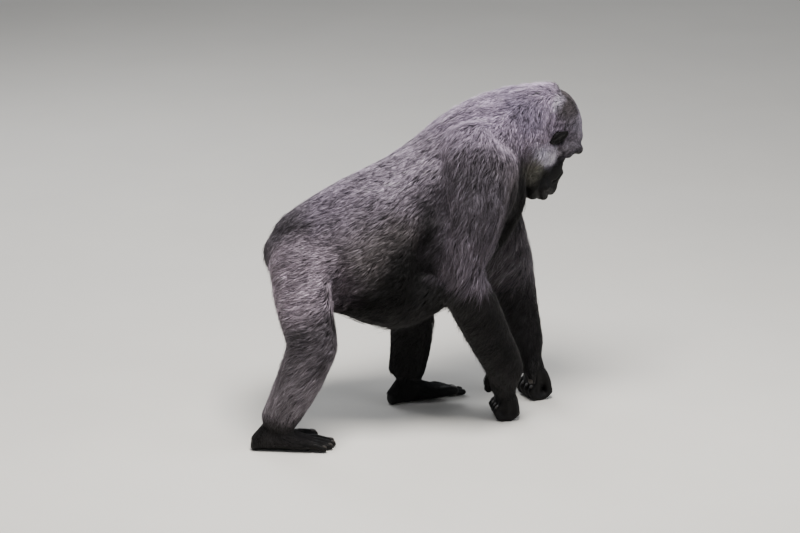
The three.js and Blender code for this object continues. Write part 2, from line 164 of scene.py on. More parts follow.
# how the coat lies, region by region;
# each row: place, the way the hairs point, then millimetres: hair length, depth of the
# coat over the skin, width of a tuft; then how thickly it grows
combing = {}
lengthAt, depthAt, widthAt, growthAt = 3, 4, 5, 6  # the columns after the lie, once combed
bareFace = (0, 0, -1), 3, 0, 0.54, 0
bareHand = (0, 0, -1), 5, 0, 0.8, 0
bareFoot = (1, 0, 0), 5, 0, 0.68, 0
combing["trunk"] = [  # for both sides, y counted outwards
    [(0.42, 0, 0.92), (-0.8, 0, 0.6), 26, 13, 1.29, 1],  # crown
    [(0.34, 0, 0.93), (-0.9, 0, 0.42), 34, 16, 1.43, 1],
    [(0.26, 0, 0.92), (-1, 0, 0.05), 38, 16, 1.56, 1],
    [(0.17, 0, 0.89), (-0.98, 0, -0.2), 38, 15, 1.63, 1],
    [(0.08, 0, 0.85), (-0.93, 0, -0.36), 38, 14, 1.7, 1],
    [(-0.06, 0, 0.75), (-0.9, 0, -0.4), 36, 13, 1.7, 1],
    [(-0.2, 0, 0.7), (-0.92, 0, -0.35), 34, 12, 1.7, 1],
    [(-0.32, 0, 0.63), (-0.9, 0, -0.45), 34, 12, 1.7, 1],
    [(-0.4, 0, 0.54), (-0.5, 0, -0.85), 36, 12, 1.7, 1],  # rump
    [(-0.39, 0.03, 0.46), (-0.1, 0, -1), 38, 13, 1.7, 1],
    [(0.36, 0.08, 0.87), (-0.2, 0.1, -0.97), 26, 12, 1.29, 1],  # side of the crown
    [(0.28, 0.11, 0.82), (-0.45, 0.1, -0.88), 30, 14, 1.43, 1],
    [(0.28, 0.09, 0.72), (-0.25, 0, -0.97), 34, 14, 1.5, 1],  # side of the neck
    [(0.27, 0.05, 0.63), (-0.2, 0, -0.98), 38, 14, 1.56, 1],  # throat
    [(0.2, 0.14, 0.82), (-0.78, 0.1, -0.6), 38, 15, 1.63, 1],
    [(0.1, 0.17, 0.78), (-0.66, 0, -0.75), 40, 15, 1.7, 1],  # shoulder
    [(0.0, 0.18, 0.74), (-0.68, 0, -0.73), 40, 14, 1.7, 1],
    [(-0.1, 0.19, 0.66), (-0.8, 0, -0.6), 40, 13, 1.7, 1],  # flank
    [(-0.22, 0.18, 0.6), (-0.93, 0, -0.36), 38, 12, 1.7, 1],
    [(-0.32, 0.15, 0.56), (-0.99, 0, -0.12), 36, 12, 1.7, 1],  # hip
    [(-0.38, 0.1, 0.5), (-0.8, 0, -0.6), 36, 12, 1.7, 1],
    [(0.08, 0.2, 0.6), (-0.62, 0, -0.78), 42, 14, 1.77, 1],
    [(-0.04, 0.21, 0.54), (-0.78, 0, -0.62), 42, 14, 1.77, 1],
    [(-0.16, 0.2, 0.48), (-0.9, 0, -0.42), 42, 14, 1.77, 1],
    [(-0.26, 0.17, 0.44), (-0.97, 0, -0.2), 42, 14, 1.77, 1],
    [(0.12, 0.15, 0.46), (-0.55, -0.1, -0.83), 50, 18, 1.9, 1],  # lower flank
    [(-0.02, 0.17, 0.38), (-0.62, -0.1, -0.78), 54, 20, 2.04, 1],
    [(-0.14, 0.15, 0.34), (-0.7, -0.1, -0.7), 54, 20, 2.04, 1],
    [(-0.26, 0.12, 0.35), (-0.8, 0, -0.6), 50, 18, 1.97, 1],
    [(0.24, 0.04, 0.54), (-0.25, 0, -0.97), 44, 16, 1.77, 1],  # chest
    [(0.16, 0.04, 0.42), (-0.5, 0, -0.86), 50, 20, 1.97, 1],
    [(0.04, 0.05, 0.32), (-0.72, 0, -0.7), 58, 24, 2.18, 1],  # belly
    [(-0.08, 0.05, 0.28), (-0.85, 0, -0.52), 58, 24, 2.18, 1],
    [(-0.2, 0.04, 0.32), (-0.9, 0, -0.4), 52, 20, 2.04, 1],
    [(-0.33, 0.04, 0.38), (-0.9, 0, -0.4), 42, 15, 1.84, 1],
]
combing["arm_right"] = [
    [(0.147, -0.16, 0.77), (-0.45, -0.1, -0.88), 46, 15, 1.6, 1],
    [(0.119, -0.192, 0.655), (-0.34, -0.05, -0.94), 50, 15, 1.6, 1],
    [(0.094, -0.2, 0.56), (-0.36, 0, -0.93), 56, 16, 1.65, 1],
    [(0.13, -0.2, 0.48), (-0.26, 0, -0.96), 62, 19, 1.7, 1],
    [(0.03, -0.2, 0.48), (-0.5, 0, -0.86), 74, 19, 1.8, 1],  # fringe at the elbow
    [(0.091, -0.2, 0.432), (-0.6, 0, -0.8), 50, 17, 1.75, 1],  # elbow
    [(0.123, -0.182, 0.366), (-0.7, 0, -0.7), 42, 14, 1.7, 1],
    [(0.173, -0.146, 0.262), (-0.68, 0, -0.72), 38, 12, 1.6, 1],
    [(0.213, -0.116, 0.192), (-0.6, 0, -0.8), 34, 10, 1.5, 1],
    [(0.24, -0.088, 0.14), (-0.3, 0, -0.95), 27, 6.5, 1.35, 1],  # wrist
    [(0.25, -0.07, 0.105), (0, 0, -1), 20, 4.5, 1.2, 0.95],
    [(0.255, -0.058, 0.075), (0.1, 0, -1), 9, 1.5, 0.8, 0],
    [(0.255, -0.055, 0.045), *bareHand],
    [(0.255, -0.055, 0.015), *bareHand],
]
combing["arm_left"] = [
    [(0.193, 0.164, 0.752), (-0.3, 0.1, -0.95), 42, 15, 1.6, 1],
    [(0.255, 0.196, 0.652), (-0.1, 0.05, -0.99), 42, 15, 1.6, 1],
    [(0.301, 0.2, 0.556), (-0.12, 0, -0.99), 52, 16, 1.65, 1],
    [(0.335, 0.196, 0.48), (-0.15, 0, -0.95), 54, 14, 1.7, 1],
    [(0.25, 0.196, 0.48), (-0.5, 0, -0.86), 72, 19, 1.8, 1],
    [(0.325, 0.188, 0.432), (-0.6, 0, -0.8), 46, 13, 1.75, 1],  # elbow
    [(0.335, 0.172, 0.362), (-0.7, 0, -0.7), 42, 13, 1.7, 1],
    [(0.35, 0.144, 0.266), (-0.68, 0, -0.72), 38, 12, 1.6, 1],
    [(0.362, 0.124, 0.194), (-0.6, 0, -0.8), 34, 10, 1.5, 1],
    [(0.37, 0.11, 0.14), (-0.3, 0, -0.95), 26, 6, 1.35, 0.95],  # wrist
    [(0.383, 0.1, 0.105), (0, 0, -1), 16, 3, 1.15, 0.85],
    [(0.39, 0.092, 0.075), (0.1, 0, -1), 9, 1.5, 0.8, 0],
    [(0.39, 0.09, 0.045), *bareHand],
    [(0.39, 0.09, 0.015), *bareHand],
]
combing["leg_right"] = [
    [(-0.331, -0.104, 0.496), (-0.97, 0, -0.2), 38, 13, 1.7, 1],
    [(-0.339, -0.146, 0.422), (-0.97, 0, -0.24), 38, 14, 1.7, 1],
    [(-0.333, -0.172, 0.345), (-0.96, 0, -0.28), 38, 14, 1.7, 1],
    [(-0.331, -0.178, 0.29), (-0.9, 0, -0.45), 38, 13, 1.7, 1],  # knee
    [(-0.361, -0.166, 0.206), (-0.75, 0, -0.66), 36, 12, 1.63, 1],
    [(-0.391, -0.144, 0.13), (-0.6, 0, -0.8), 28, 7, 1.4, 1],
    [(-0.414, -0.13, 0.086), (-0.15, 0, -0.98), 24, 4.5, 1.2, 1],  # ankle
    [(-0.38, -0.14, 0.06), (0.7, 0, -0.7), 17, 3.2, 1, 0.95],
    [(-0.34, -0.152, 0.04), (0.95, 0, -0.3), 13, 2.2, 0.9, 0.7],
    [(-0.31, -0.16, 0.02), (1, 0, -0.1), 5, 0, 0.68, 0],
    [(-0.41, -0.13, 0.0), *bareFoot],
    [(-0.34, -0.15, 0.0), *bareFoot],
    [(-0.27, -0.17, 0.01), *bareFoot],
    [(-0.3, -0.1, 0.015), *bareFoot],
    [(-0.455, -0.12, 0.05), (-0.3, 0, -0.9), 20, 4, 1.1, 0.8],
    [(-0.47, -0.12, 0.015), (-0.3, 0, -0.9), 6, 1, 0.75, 0.1],
]
combing["leg_left"] = [
    [(-0.253, 0.112, 0.484), (-0.97, 0, -0.2), 38, 13, 1.7, 1],
    [(-0.155, 0.164, 0.44), (-0.9, 0, -0.4), 38, 14, 1.7, 1],
    [(-0.049, 0.192, 0.384), (-0.8, 0, -0.6), 38, 14, 1.7, 1],
    [(0.029, 0.194, 0.318), (-0.7, 0, -0.7), 38, 13, 1.7, 1],  # knee
    [(0.061, 0.182, 0.222), (-0.65, 0, -0.75), 36, 12, 1.63, 1],
    [(0.051, 0.174, 0.14), (-0.6, 0, -0.8), 28, 7, 1.4, 1],
    [(0.041, 0.168, 0.09), (-0.15, 0, -0.98), 24, 4.5, 1.2, 1],  # ankle
    [(0.08, 0.172, 0.06), (0.7, 0, -0.7), 17, 3.2, 1, 0.95],
    [(0.12, 0.18, 0.04), (0.95, 0, -0.3), 13, 2.2, 0.9, 0.7],
    [(0.155, 0.185, 0.02), (1, 0, -0.1), 5, 0, 0.68, 0],
    [(0.05, 0.16, 0.0), *bareFoot],
    [(0.12, 0.17, 0.0), *bareFoot],
    [(0.19, 0.19, 0.01), *bareFoot],
    [(0.16, 0.13, 0.02), *bareFoot],
    [(0.0, 0.15, 0.05), (-0.3, 0, -0.9), 20, 4, 1.1, 0.8],
    [(-0.01, 0.145, 0.015), (-0.3, 0, -0.9), 6, 1, 0.75, 0.1],
]
combing["head"] = [  # in the head's own axes, for both sides
    [(-134, 0, 76), (-0.8, 0, 0.6), 13, 6, 1, 1],  # up to the hairline
    [(-96, 0, 70), (-0.8, 0, 0.6), 13, 5, 0.95, 1],
    [(-60, 0, 46), (-0.8, 0, 0.6), 9, 2.5, 0.82, 0.95],
    [(-34, 0, 16), (-0.7, 0, 0.7), 7, 1.4, 0.68, 0.9],
    [(4, 0, -6), (-0.3, 0, 0.9), 4, 0, 0.54, 0.12],  # brow
    [(-4, 40, -2), (-0.5, 0.5, 0.7), 4, 0, 0.54, 0.2],
    [(-38, 34, 20), (-0.8, 0.1, 0.6), 7, 1.6, 0.68, 0.9],
    [(-70, 55, 30), (-0.8, 0.1, 0.6), 10, 3.5, 0.82, 0.95],
    [(-104, 66, 44), (-0.3, 0, -0.9), 12, 5, 1, 1],
    [(-56, 70, -8), (-0.9, 0, 0.3), 7, 2, 0.75, 0.9],  # temple
    [(-104, 80, 6), (0.1, 0, -0.95), 12, 4.5, 0.95, 1],
    [(-136, 76, -10), (0.5, 0, -0.85), 20, 9, 1.09, 1],
    [(-64, 68, -42), (0.2, 0, -1), 7, 2, 0.75, 0.85],
    [(-146, 72, -60), (0.8, 0, -0.6), 22, 9, 1.16, 1],  # behind and below the ear
    [(-116, 74, -76), (1, 0, -0.2), 20, 9, 1.09, 1],
    [(-84, 66, -76), (1, 0, -0.25), 18, 7, 1.02, 1],
    [(-58, 58, -76), (0.9, 0, -0.5), 11, 4, 0.88, 0.95],
    [(-88, 64, -98), (-0.1, 0, -1), 24, 9, 1.09, 1],  # beard
    [(-110, 60, -110), (-0.4, 0, -0.9), 28, 10, 1.22, 1],
    [(-80, 50, -130), (-0.5, 0, -0.86), 22, 7, 1.09, 1],
    [(-100, 20, -150), (-0.8, 0, -0.6), 24, 8, 1.22, 1],  # throat
    [(-60, 24, -176), (-0.8, 0, -0.6), 12, 3, 0.88, 0.8],  # chin
    [(-36, 10, -180), (-0.6, 0, -0.8), 6, 1, 0.68, 0.4],
    [(-44, 56, -66), (-0.4, 0, -0.9), 7, 1.5, 0.68, 0.5],
    [(-48, 48, -110), (-0.4, 0, -0.9), 7, 1.5, 0.68, 0.5],
    [(-30, 34, -37), *bareFace],  # eyes
    [(-22, 48, -36), *bareFace],
    [(-8, 0, -46), *bareFace],
    [(4, 14, -70), *bareFace],  # nose
    [(4, 30, -100), *bareFace],
    [(-20, 44, -96), *bareFace],
    [(20, 0, -100), *bareFace],
    [(26, 0, -134), *bareFace],  # lips
    [(10, 30, -140), *bareFace],
    [(-20, 48, -146), (-0.4, 0, -0.9), 4, 0.4, 0.54, 0.15],
    [(24, 0, -167), *bareFace],
    [(4, 26, -172), (-0.4, 0, -0.9), 4, 0, 0.54, 0.1],
]
combing["ear"] = [
    [(-117, 95, -42), (-0.7, 0, 0.6), 4, 0, 0.61, 0],
    [(-117, 80, -42), (-0.7, 0, 0.6), 6, 0.5, 0.68, 0],
]


groupOf = {"trunk": "trunk", "neck": "trunk", "head": "head"}
for side in ("right", "left"):
    groupOf["ear_" + side] = "ear"
    for name in ("upper_arm_", "forearm_", "hand_"):
        groupOf[name + side] = "arm_" + side
    for name in ("thigh_", "shank_", "foot_"):
        groupOf[name + side] = "leg_" + side
fleshNodes = sorted(groupOf)


def nodeTree():
    corners, faces, owner = [], [], []
    for index, name in enumerate(fleshNodes):
        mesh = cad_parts[name].data
        start = len(corners)
        corners += [tuple(vertex.co) for vertex in mesh.vertices]
        faces += [tuple(start + corner for corner in face.vertices) for face in mesh.polygons]
        owner += [index] * len(mesh.polygons)
    return BVHTree.FromPolygons(corners, faces), np.array(owner)


solidTree, solidOwner = nodeTree()


def nearestNode(points):
    return solidOwner[[solidTree.find_nearest(point)[2] for point in points.tolist()]]


def combed(points, nodes):
    # three columns of lie, then length, depth and width in metres and how thickly it grows
    out = np.zeros((len(points), 7))
    groups = np.array([groupOf[name] for name in fleshNodes])[nodes]
    for group, rows in combing.items():
        chosen = np.nonzero(groups == group)[0]
        if not len(chosen):
            continue
        here = points[chosen]
        ownHead = group in ("head", "ear")
        if ownHead:
            here = toHead(here) / 1000
        side = np.ones(len(here))
        if ownHead or group == "trunk":
            side = np.where(here[:, 1] < 0, -1.0, 1.0)
            here[:, 1] *= side
        places = np.array([row[0] for row in rows]) / (1000 if ownHead else 1)
        traits = np.array([[*row[1], *row[2:]] for row in rows], float)
        away = np.linalg.norm(here[:, None] - places[None], axis=2)
        share = 1 / (away + 0.004) ** 4
        mixed = (share / share.sum(1, keepdims=True)) @ traits
        mixed[:, 1] *= side
        if ownHead:
            mixed[:, :3] = mixed[:, :3] @ headAxes.T
        out[chosen] = mixed
    out[:, :3] /= np.linalg.norm(out[:, :3], axis=1, keepdims=True)
    out[:, 3:6] /= 1000
    return out


# the face and ears as distances to their surfaces, less than zero inside


def lump(points, centre, radii):
    off = points - np.array(centre, float)
    radii = np.array(radii, float)
    near = np.linalg.norm(off / radii, axis=1)
    slope = np.maximum(np.linalg.norm(off / radii**2, axis=1), 1e-6)
    return near * (near - 1) / slope


def chain(points, rods):
    nearest = np.full(len(points), 1e9)
    for start, end in zip(rods, rods[1:]):
        along = np.array(end[:3], float) - start[:3]
        off = points - np.array(start[:3], float)
        share = np.clip(off @ along / (along @ along), 0, 1)
        far = np.linalg.norm(off - share[:, None] * along, axis=1)
        nearest = np.minimum(nearest, far - start[3] - share * (end[3] - start[3]))
    return nearest


def soften(one, other, blend):
    near = np.maximum(blend - np.abs(one - other), 0) / blend
    return np.minimum(one, other) - near * near * blend / 4


def carve(body, tool, blend):
    return -soften(-body, tool, blend)


face = {
    "skull": [
        ((-108, 0, -8), (80, 78, 77), 30),
        ((-142, 0, 18), (50, 62, 54), 30),
        ((-76, 0, -66), (52, 50, 60), 20),
        ((-46, 0, -122), (64, 44, 48), 20),
        ((-112, 0, -96), (66, 62, 66), 30),
    ],
    "forms": [  # rods of x, y, z, radius, and how softly each joins what lies under it
        ([(-15, 14, -178, 22), (-64, 38, -164, 25), (-112, 50, -128, 30), (-112, 56, -84, 27)], 26),
        ([(-40, 52, -44, 12), (-78, 66, -48, 12), (-118, 70, -40, 13)], 16),
        ([(-38, 25, -58, 17), (-16, 27, -98, 18), (-14, 24, -130, 20)], 14),
        ([(-38, 0, 14, 16.5), (-41, 24, 13, 16.5), (-56, 46, 6, 14.5)], 18),
        ([(-12, 0, -11, 12.5), (-14, 22, -8, 15), (-24, 48, -12, 14), (-50, 65, -26, 10.5)], 18),
    ],
    "eye": (-33, 32, -34),
    "nose": [
        ([(-24, 0, -28, 9), (-17, 0, -60, 9), (-4, 0, -86, 12)], 8),
        ([(-3, 10, -78, 9), (-3, 28, -88, 10.5), (-5, 32, -102, 10), (3, 12, -112, 9)], 9),
    ],
    "lips": [
        ([(-2, 0, -94, 14), (12, 0, -120, 15)], 10),
        ([(0, 24, -108, 12), (13, 24, -126, 13)], 10),  # over the canines
        ([(18, 0, -137, 15), (15, 26, -139, 14), (-14, 44, -147, 12)], 10),
        ([(16, 0, -163, 14), (13, 24, -163, 13), (-14, 40, -160, 11)], 7),
    ],
    "grooves": [  # rods cut into the skin, and how softly
        ([(22, 16, -99, 7.5), (0, 18, -95, 6.5), (-10, 19, -91, 5)], 3),  # nostril
        ([(12, 0, -78, 2.4), (16, 0, -114, 2.4)], 6),  # between the nostrils
        ([(-10, 17, -62, 1.6), (-1, 38, -72, 1.8), (-5, 45, -94, 1.8), (-2, 42, -114, 1.6)], 4),
        ([(39, 0, -150, 2), (33, 17, -151, 2), (18, 36, -154, 1.8), (-18, 56, -160, 1.4)], 3),
        ([(-4, 36, -116, 1.6), (-8, 46, -126, 1.6), (-16, 53, -140, 1.4)], 6),  # cheek fold
        ([(-20, 15, -44, 1), (-16, 30, -49, 1.2), (-25, 47, -44, 1)], 3),  # under the eye
        ([(-18, 14, -51, 1), (-14, 30, -58, 1.2), (-26, 50, -52, 1)], 4),
        ([(-17, 14, -59, 0.9), (-14, 28, -66, 1.1), (-24, 46, -62, 0.9)], 4),
        ([(-14, 0, -30, 0.9), (-17, 12, -28, 0.8)], 3),  # across the root of the nose
        ([(-14, 0, -38, 1), (-18, 12, -36, 0.8)], 3),
        ([(-10, 0, -47, 0.9), (-16, 12, -47, 0.8)], 3),
        ([(-22, 18, -26, 1), (-19, 32, -23, 1.2), (-26, 46, -27, 1)], 3),  # over the lid
        ([(28, 7, -112, 0.9), (34, 8, -142, 0.9)], 4),
        ([(28, 18, -116, 0.9), (33, 20, -144, 0.9)], 4),
        ([(17, 33, -124, 0.7), (21, 35, -142, 0.7)], 4),
    ],
}


def headField(points):
    spot = mirrored(points)
    depth = np.full(len(points), 1e3)
    for centre, radii, blend in face["skull"]:
        depth = soften(depth, lump(spot, centre, radii), blend)
    for rods, blend in face["forms"]:
        depth = soften(depth, chain(spot, rods), blend)
    eye = np.array(face["eye"])  # its hollow, then its lids, and last the opening between them
    depth = carve(depth, lump(spot, eye + (24, 1, 0), (19, 17, 13)), 9)
    depth = soften(depth, lump(spot, eye, (13.4, 13.6, 13.2)), 3)
    for rods, blend in face["nose"] + face["lips"]:
        depth = soften(depth, chain(spot, rods), blend)
    for rods, blend in face["grooves"]:
        depth = carve(depth, chain(spot, rods), blend)
    return carve(depth, lump(spot, eye + (12, 1, -0.5), (15, 10.4, 4)), 1.2)


def earField(points):
    # the left ear: x forward, y outwards, z up
    rim = []
    for turn in np.radians(np.linspace(-75, 235, 15)):
        thick = 3.4 + 1.3 * max(math.sin(turn), 0)
        rim.append((17 * math.cos(turn), 2.5 - 1.5 * math.cos(turn), 24 * math.sin(turn), thick))
    depth = lump(points, (0, -2, 0), (17, 4, 25))
    depth = soften(depth, lump(points, (9, -12, -1), (12, 10, 18)), 6)  # root
    depth = soften(depth, chain(points, rim), 3)
    for fold in (
        [(-8, 2, 13, 2.4), (-10.5, 3, 0, 2.6), (-6, 3, -13, 2.8)],
        [(-8, 2, 13, 2.2), (1, 1, 16, 2)],
    ):
        depth = soften(depth, chain(points, fold), 3)
    depth = carve(depth, lump(points, (3.5, 6, -1), (9, 12, 12.5)), 2.5)  # hollow
    depth = carve(depth, chain(points, [(6, 3, -2, 6.5), (9, -12, -5, 5)]), 3)  # the canal
    depth = soften(depth, lump(points, (13, 3, -7), (3.6, 4, 5.5)), 2.5)
    return soften(depth, lump(points, (4, 1, -25), (7, 4, 6.5)), 4)  # lobe


earSeat = {"place": (-117, 84, -42), "turn": (-8, 14, -32)}  # on the left of the head, degrees


def earTurn():
    aboutX, aboutY, aboutZ = map(turnBy, earSeat["turn"], "XYZ")
    return np.array(aboutX @ aboutY @ aboutZ)


def farFromEar(points):
    # millimetres to the surface of the nearer ear
    return earField((mirrored(toHead(points)) - earSeat["place"]) @ earTurn())


def ontoField(points, field, rounds, most=4.0):
    step = 0.15
    for _ in range(rounds):
        here = field(points)
        slope = np.stack([field(points + shift) - here for shift in np.eye(3) * step], 1) / step
        size = np.maximum((slope**2).sum(1, keepdims=True), 0.15)
        move = slope / size * here[:, None]
        far = np.maximum(np.linalg.norm(move, axis=1, keepdims=True) / most, 1)
        points = points - move / far
    return points


headSkin = {
    "middle": (-84, 0, -56),  # inside the skull, every ray runs out from here
    "reach": 250,
    "noseWay": (math.cos(0.24), 0, -math.sin(0.24)),
    "finer": (62, 44),  # degrees round the nose's line where the faces are smaller
}


def modelHead():
    bpy.ops.mesh.primitive_ico_sphere_add(subdivisions=6, radius=1)
    piece = bpy.context.object
    middle = np.array(headSkin["middle"], float)
    for limit in headSkin["finer"]:
        way = unit(readAll(piece.data.polygons, "center").astype(float))
        nearNose = way @ np.array(headSkin["noseWay"]) > math.cos(math.radians(limit))
        editFaces(piece, lambda: bpy.ops.mesh.subdivide(number_cuts=1), nearNose)
    way = unit(placesOf(piece))
    far = np.full(len(way), float(headSkin["reach"]))
    for _ in range(60):
        far = far - headField(middle + way * far[:, None]) * 0.7
        far = np.clip(far, 5, headSkin["reach"])
    moveTo(piece, middle + way * far[:, None])
    finishWith(piece, "SMOOTH", factor=0.5, iterations=5)
    moveTo(piece, ontoField(placesOf(piece), headField, 3))
    return piece


def modelEar():
    bpy.ops.mesh.primitive_ico_sphere_add(subdivisions=5, radius=1)
    piece = bpy.context.object
    start = placesOf(piece) * np.array([22, 6, 30]) + np.array([0, -1, 0])
    moveTo(piece, ontoField(start, earField, 14))
    finishWith(piece, "SMOOTH", factor=0.5, iterations=6)
    moveTo(piece, ontoField(placesOf(piece), earField, 3))
    finishWith(piece, "SMOOTH", factor=0.5, iterations=2)
    return piece


skinSizes = {
    "voxel": 0.0037,
    "rounding": 130,  # rounds of smoothing on trunk and limbs
    "keep": 0.26,  # share of the faces left under the coat
    "limbEnds": ((0.11, 0.19), (0.06, 0.14)),  # heights of wrists and ankles, rounded less
    "headSink": (5, 19),  # how far the body stays under the head's skin, back and face
    "seam": (0.004, 0.01),  # how far from the head's joint the smoothing fades
    "hollows": [  # where the skin lies deeper: centre, radii, how much deeper
        ((0.29, -0.115, 0.72), (0.06, 0.06, 0.13), 0.034),  # in front of the shoulders
        ((0.34, 0.13, 0.7), (0.06, 0.06, 0.12), 0.022),
        ((0.235, -0.12, 0.57), (0.05, 0.06, 0.13), 0.034),
        ((0.012, -0.2, 0.62), (0.034, 0.07, 0.12), 0.034),  # behind the upper arms
        ((-0.03, -0.2, 0.5), (0.04, 0.07, 0.11), 0.05),
        ((0.13, 0.2, 0.6), (0.032, 0.07, 0.15), 0.02),
        ((0.02, -0.2, 0.46), (0.05, 0.06, 0.045), 0.03),  # under the fringe of the elbows
        ((0.25, 0.19, 0.45), (0.05, 0.06, 0.045), 0.03),
        ((-0.245, -0.17, 0.43), (0.032, 0.06, 0.12), 0.03),  # in front of the thighs
    ],
}


def treeOf(piece):
    return BVHTree.FromObject(piece, bpy.context.evaluated_depsgraph_get())


def modelBody():
    names = [name for name in fleshNodes if groupOf[name] != "ear"]
    activate(*[linked(name + "Copy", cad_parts[name].data.copy()) for name in names])
    bpy.ops.object.join()
    body = bpy.context.object
    editFaces(body, lambda: bpy.ops.mesh.remove_doubles(threshold=0.00001))
    finishWith(body, "REMESH", mode="VOXEL", voxel_size=skinSizes["voxel"])
    print("remeshed", len(body.data.vertices))
    outline = treeOf(body)
    finishWith(body, "SMOOTH", factor=0.5, iterations=6)
    places = placesOf(body)
    wrist, ankle = (smoothStep(*ends, places[:, 2]) for ends in skinSizes["limbEnds"])
    limb = np.where(places[:, 0] > 0.16, wrist, ankle)
    fuller = {"vertex_group": giveWeights(body, "rounding", 0.05 + 0.95 * limb)}
    finishWith(body, "SMOOTH", factor=0.8, iterations=skinSizes["rounding"], **fuller)
    places, normals = placesOf(body), normalsOf(body)
    off = np.empty(len(places))
    for index, point in enumerate(places.tolist()):
        found, normal, _, far = outline.find_nearest(point)
        off[index] = math.copysign(far, (Vector(point) - found).dot(normal))
    off = evenOut(body, off, 70)
    traits = combed(places, nearestNode(places))
    back, front = skinSizes["headSink"]
    spot = toHead(places)
    nearSkull = smoothStep(16, 4, headField(spot))
    sink = nearSkull * (back + (front - back) * smoothStep(-100, -50, spot[:, 0])) / 1000
    for centre, radii, deeper in skinSizes["hollows"]:
        near = np.linalg.norm((places - centre) / radii, axis=1)
        sink = sink + deeper * smoothStep(1.3, 0.2, near)
    depth = evenOut(body, traits[:, depthAt] + sink, 24)
    moveTo(body, places - normals * (depth + off)[:, None])
    finishWith(body, "SMOOTH", factor=0.6, iterations=8, **fuller)
    finishWith(body, "DECIMATE", ratio=skinSizes["keep"], **fuller)
    print("body", len(body.data.polygons), "faces")
    return body


def modelSkin():
    skin = modelBody()
    skullPiece = modelHead()
    places = placesOf(skullPiece)
    world = fromHead(places)
    slope = normalsOf(skullPiece) @ headAxes.T
    headIndex = np.full(len(places), fleshNodes.index("head"))
    depth = evenOut(skullPiece, combed(world, headIndex)[:, depthAt], 4)
    moveTo(skullPiece, world - slope * depth[:, None])
    ears = []
    for side in (1, -1):
        ear = modelEar()
        spots = placesOf(ear) @ earTurn().T + earSeat["place"]
        spots[:, 1] *= side
        moveTo(ear, fromHead(spots))
        ears.append(ear)
    for piece in [skullPiece, *ears]:
        turnOutwards(piece)
    seams = [treeOf(piece) for piece in (skin, skullPiece)]
    for piece in [skullPiece, *ears]:
        finishWith(skin, "BOOLEAN", operation="UNION", solver="MANIFOLD", object=piece)
        print("joined", len(skin.data.polygons))
        bpy.data.objects.remove(piece)
    places = placesOf(skin)
    close = np.zeros(len(places))
    for index in np.nonzero(np.linalg.norm(toHead(places) - (-110, 0, -40), axis=1) < 170)[0]:
        far = max(tree.find_nearest(places[index].tolist())[3] for tree in seams)
        close[index] = 1 - smoothStep(*skinSizes["seam"], far)
    seam = giveWeights(skin, "seam", close)
    finishWith(skin, "SMOOTH", factor=0.7, iterations=14, vertex_group=seam)
    bpy.ops.object.shade_smooth()
    skin.vertex_groups.clear()
    skin.data.materials.clear()  # the solids' own materials came along
    skin.name = skin.data.name = "skin"
    return skin


skin = modelSkin()

# markings and materials


def feed(tree, node, inputs):
    for socket, value in dict(inputs).items():
        if isinstance(value, bpy.types.NodeSocket):
            tree.links.new(value, node.inputs[socket])
        else:
            node.inputs[socket].default_value = value


def addNode(tree, kind, inputs=(), **settings):
    node = tree.nodes.new("ShaderNode" + kind)
    for key, value in settings.items():
        setattr(node, key, value)
    feed(tree, node, inputs)
    return node


def vectorMath(tree, work, one, other=(0, 0, 0)):
    node = addNode(tree, "VectorMath", {0: one, 1: other}, operation=work)
    return node.outputs["Value" if work in ("DOT_PRODUCT", "LENGTH") else "Vector"]


def scaled(tree, vector, scale):
    return addNode(tree, "VectorMath", {0: vector, "Scale": scale}, operation="SCALE").outputs[0]


def numberMath(tree, work, *values):
    return addNode(tree, "Math", enumerate(values), operation=work).outputs[0]


def spread(tree, value, low, high, toLow=0, toHigh=1, **settings):
    ends = {"Value": value, "From Min": low, "From Max": high, "To Min": toLow, "To Max": toHigh}
    return addNode(tree, "MapRange", ends, **settings).outputs[0]


def mixColour(tree, factor, one, other):
    return addNode(tree, "Mix", {0: factor, 6: one, 7: other}, data_type="RGBA").outputs[2]


def noise(tree, place, scale, detail):
    return addNode(tree, "TexNoise", {"Vector": place, "Scale": scale, "Detail": detail}).outputs


def valueOf(tree, name):
    return addNode(tree, "Attribute", attribute_name=name).outputs["Fac"]


def placeOf(tree):
    return addNode(tree, "TexCoord").outputs["Object"]


def ramp(tree, value, stops):
    node = addNode(tree, "ValToRGB", {"Fac": value})
    marks = node.color_ramp.elements
    marks[0].color, marks[1].color = (*stops[0][1], 1), (*stops[-1][1], 1)
    for at, colour in stops[1:-1]:
        marks.new(at).color = (*colour, 1)
    return node.outputs["Color"]


def newMaterial(name):
    made = bpy.data.materials.new(name)
    made.use_nodes = True
    return made, made.node_tree, made.node_tree.nodes["Principled BSDF"]


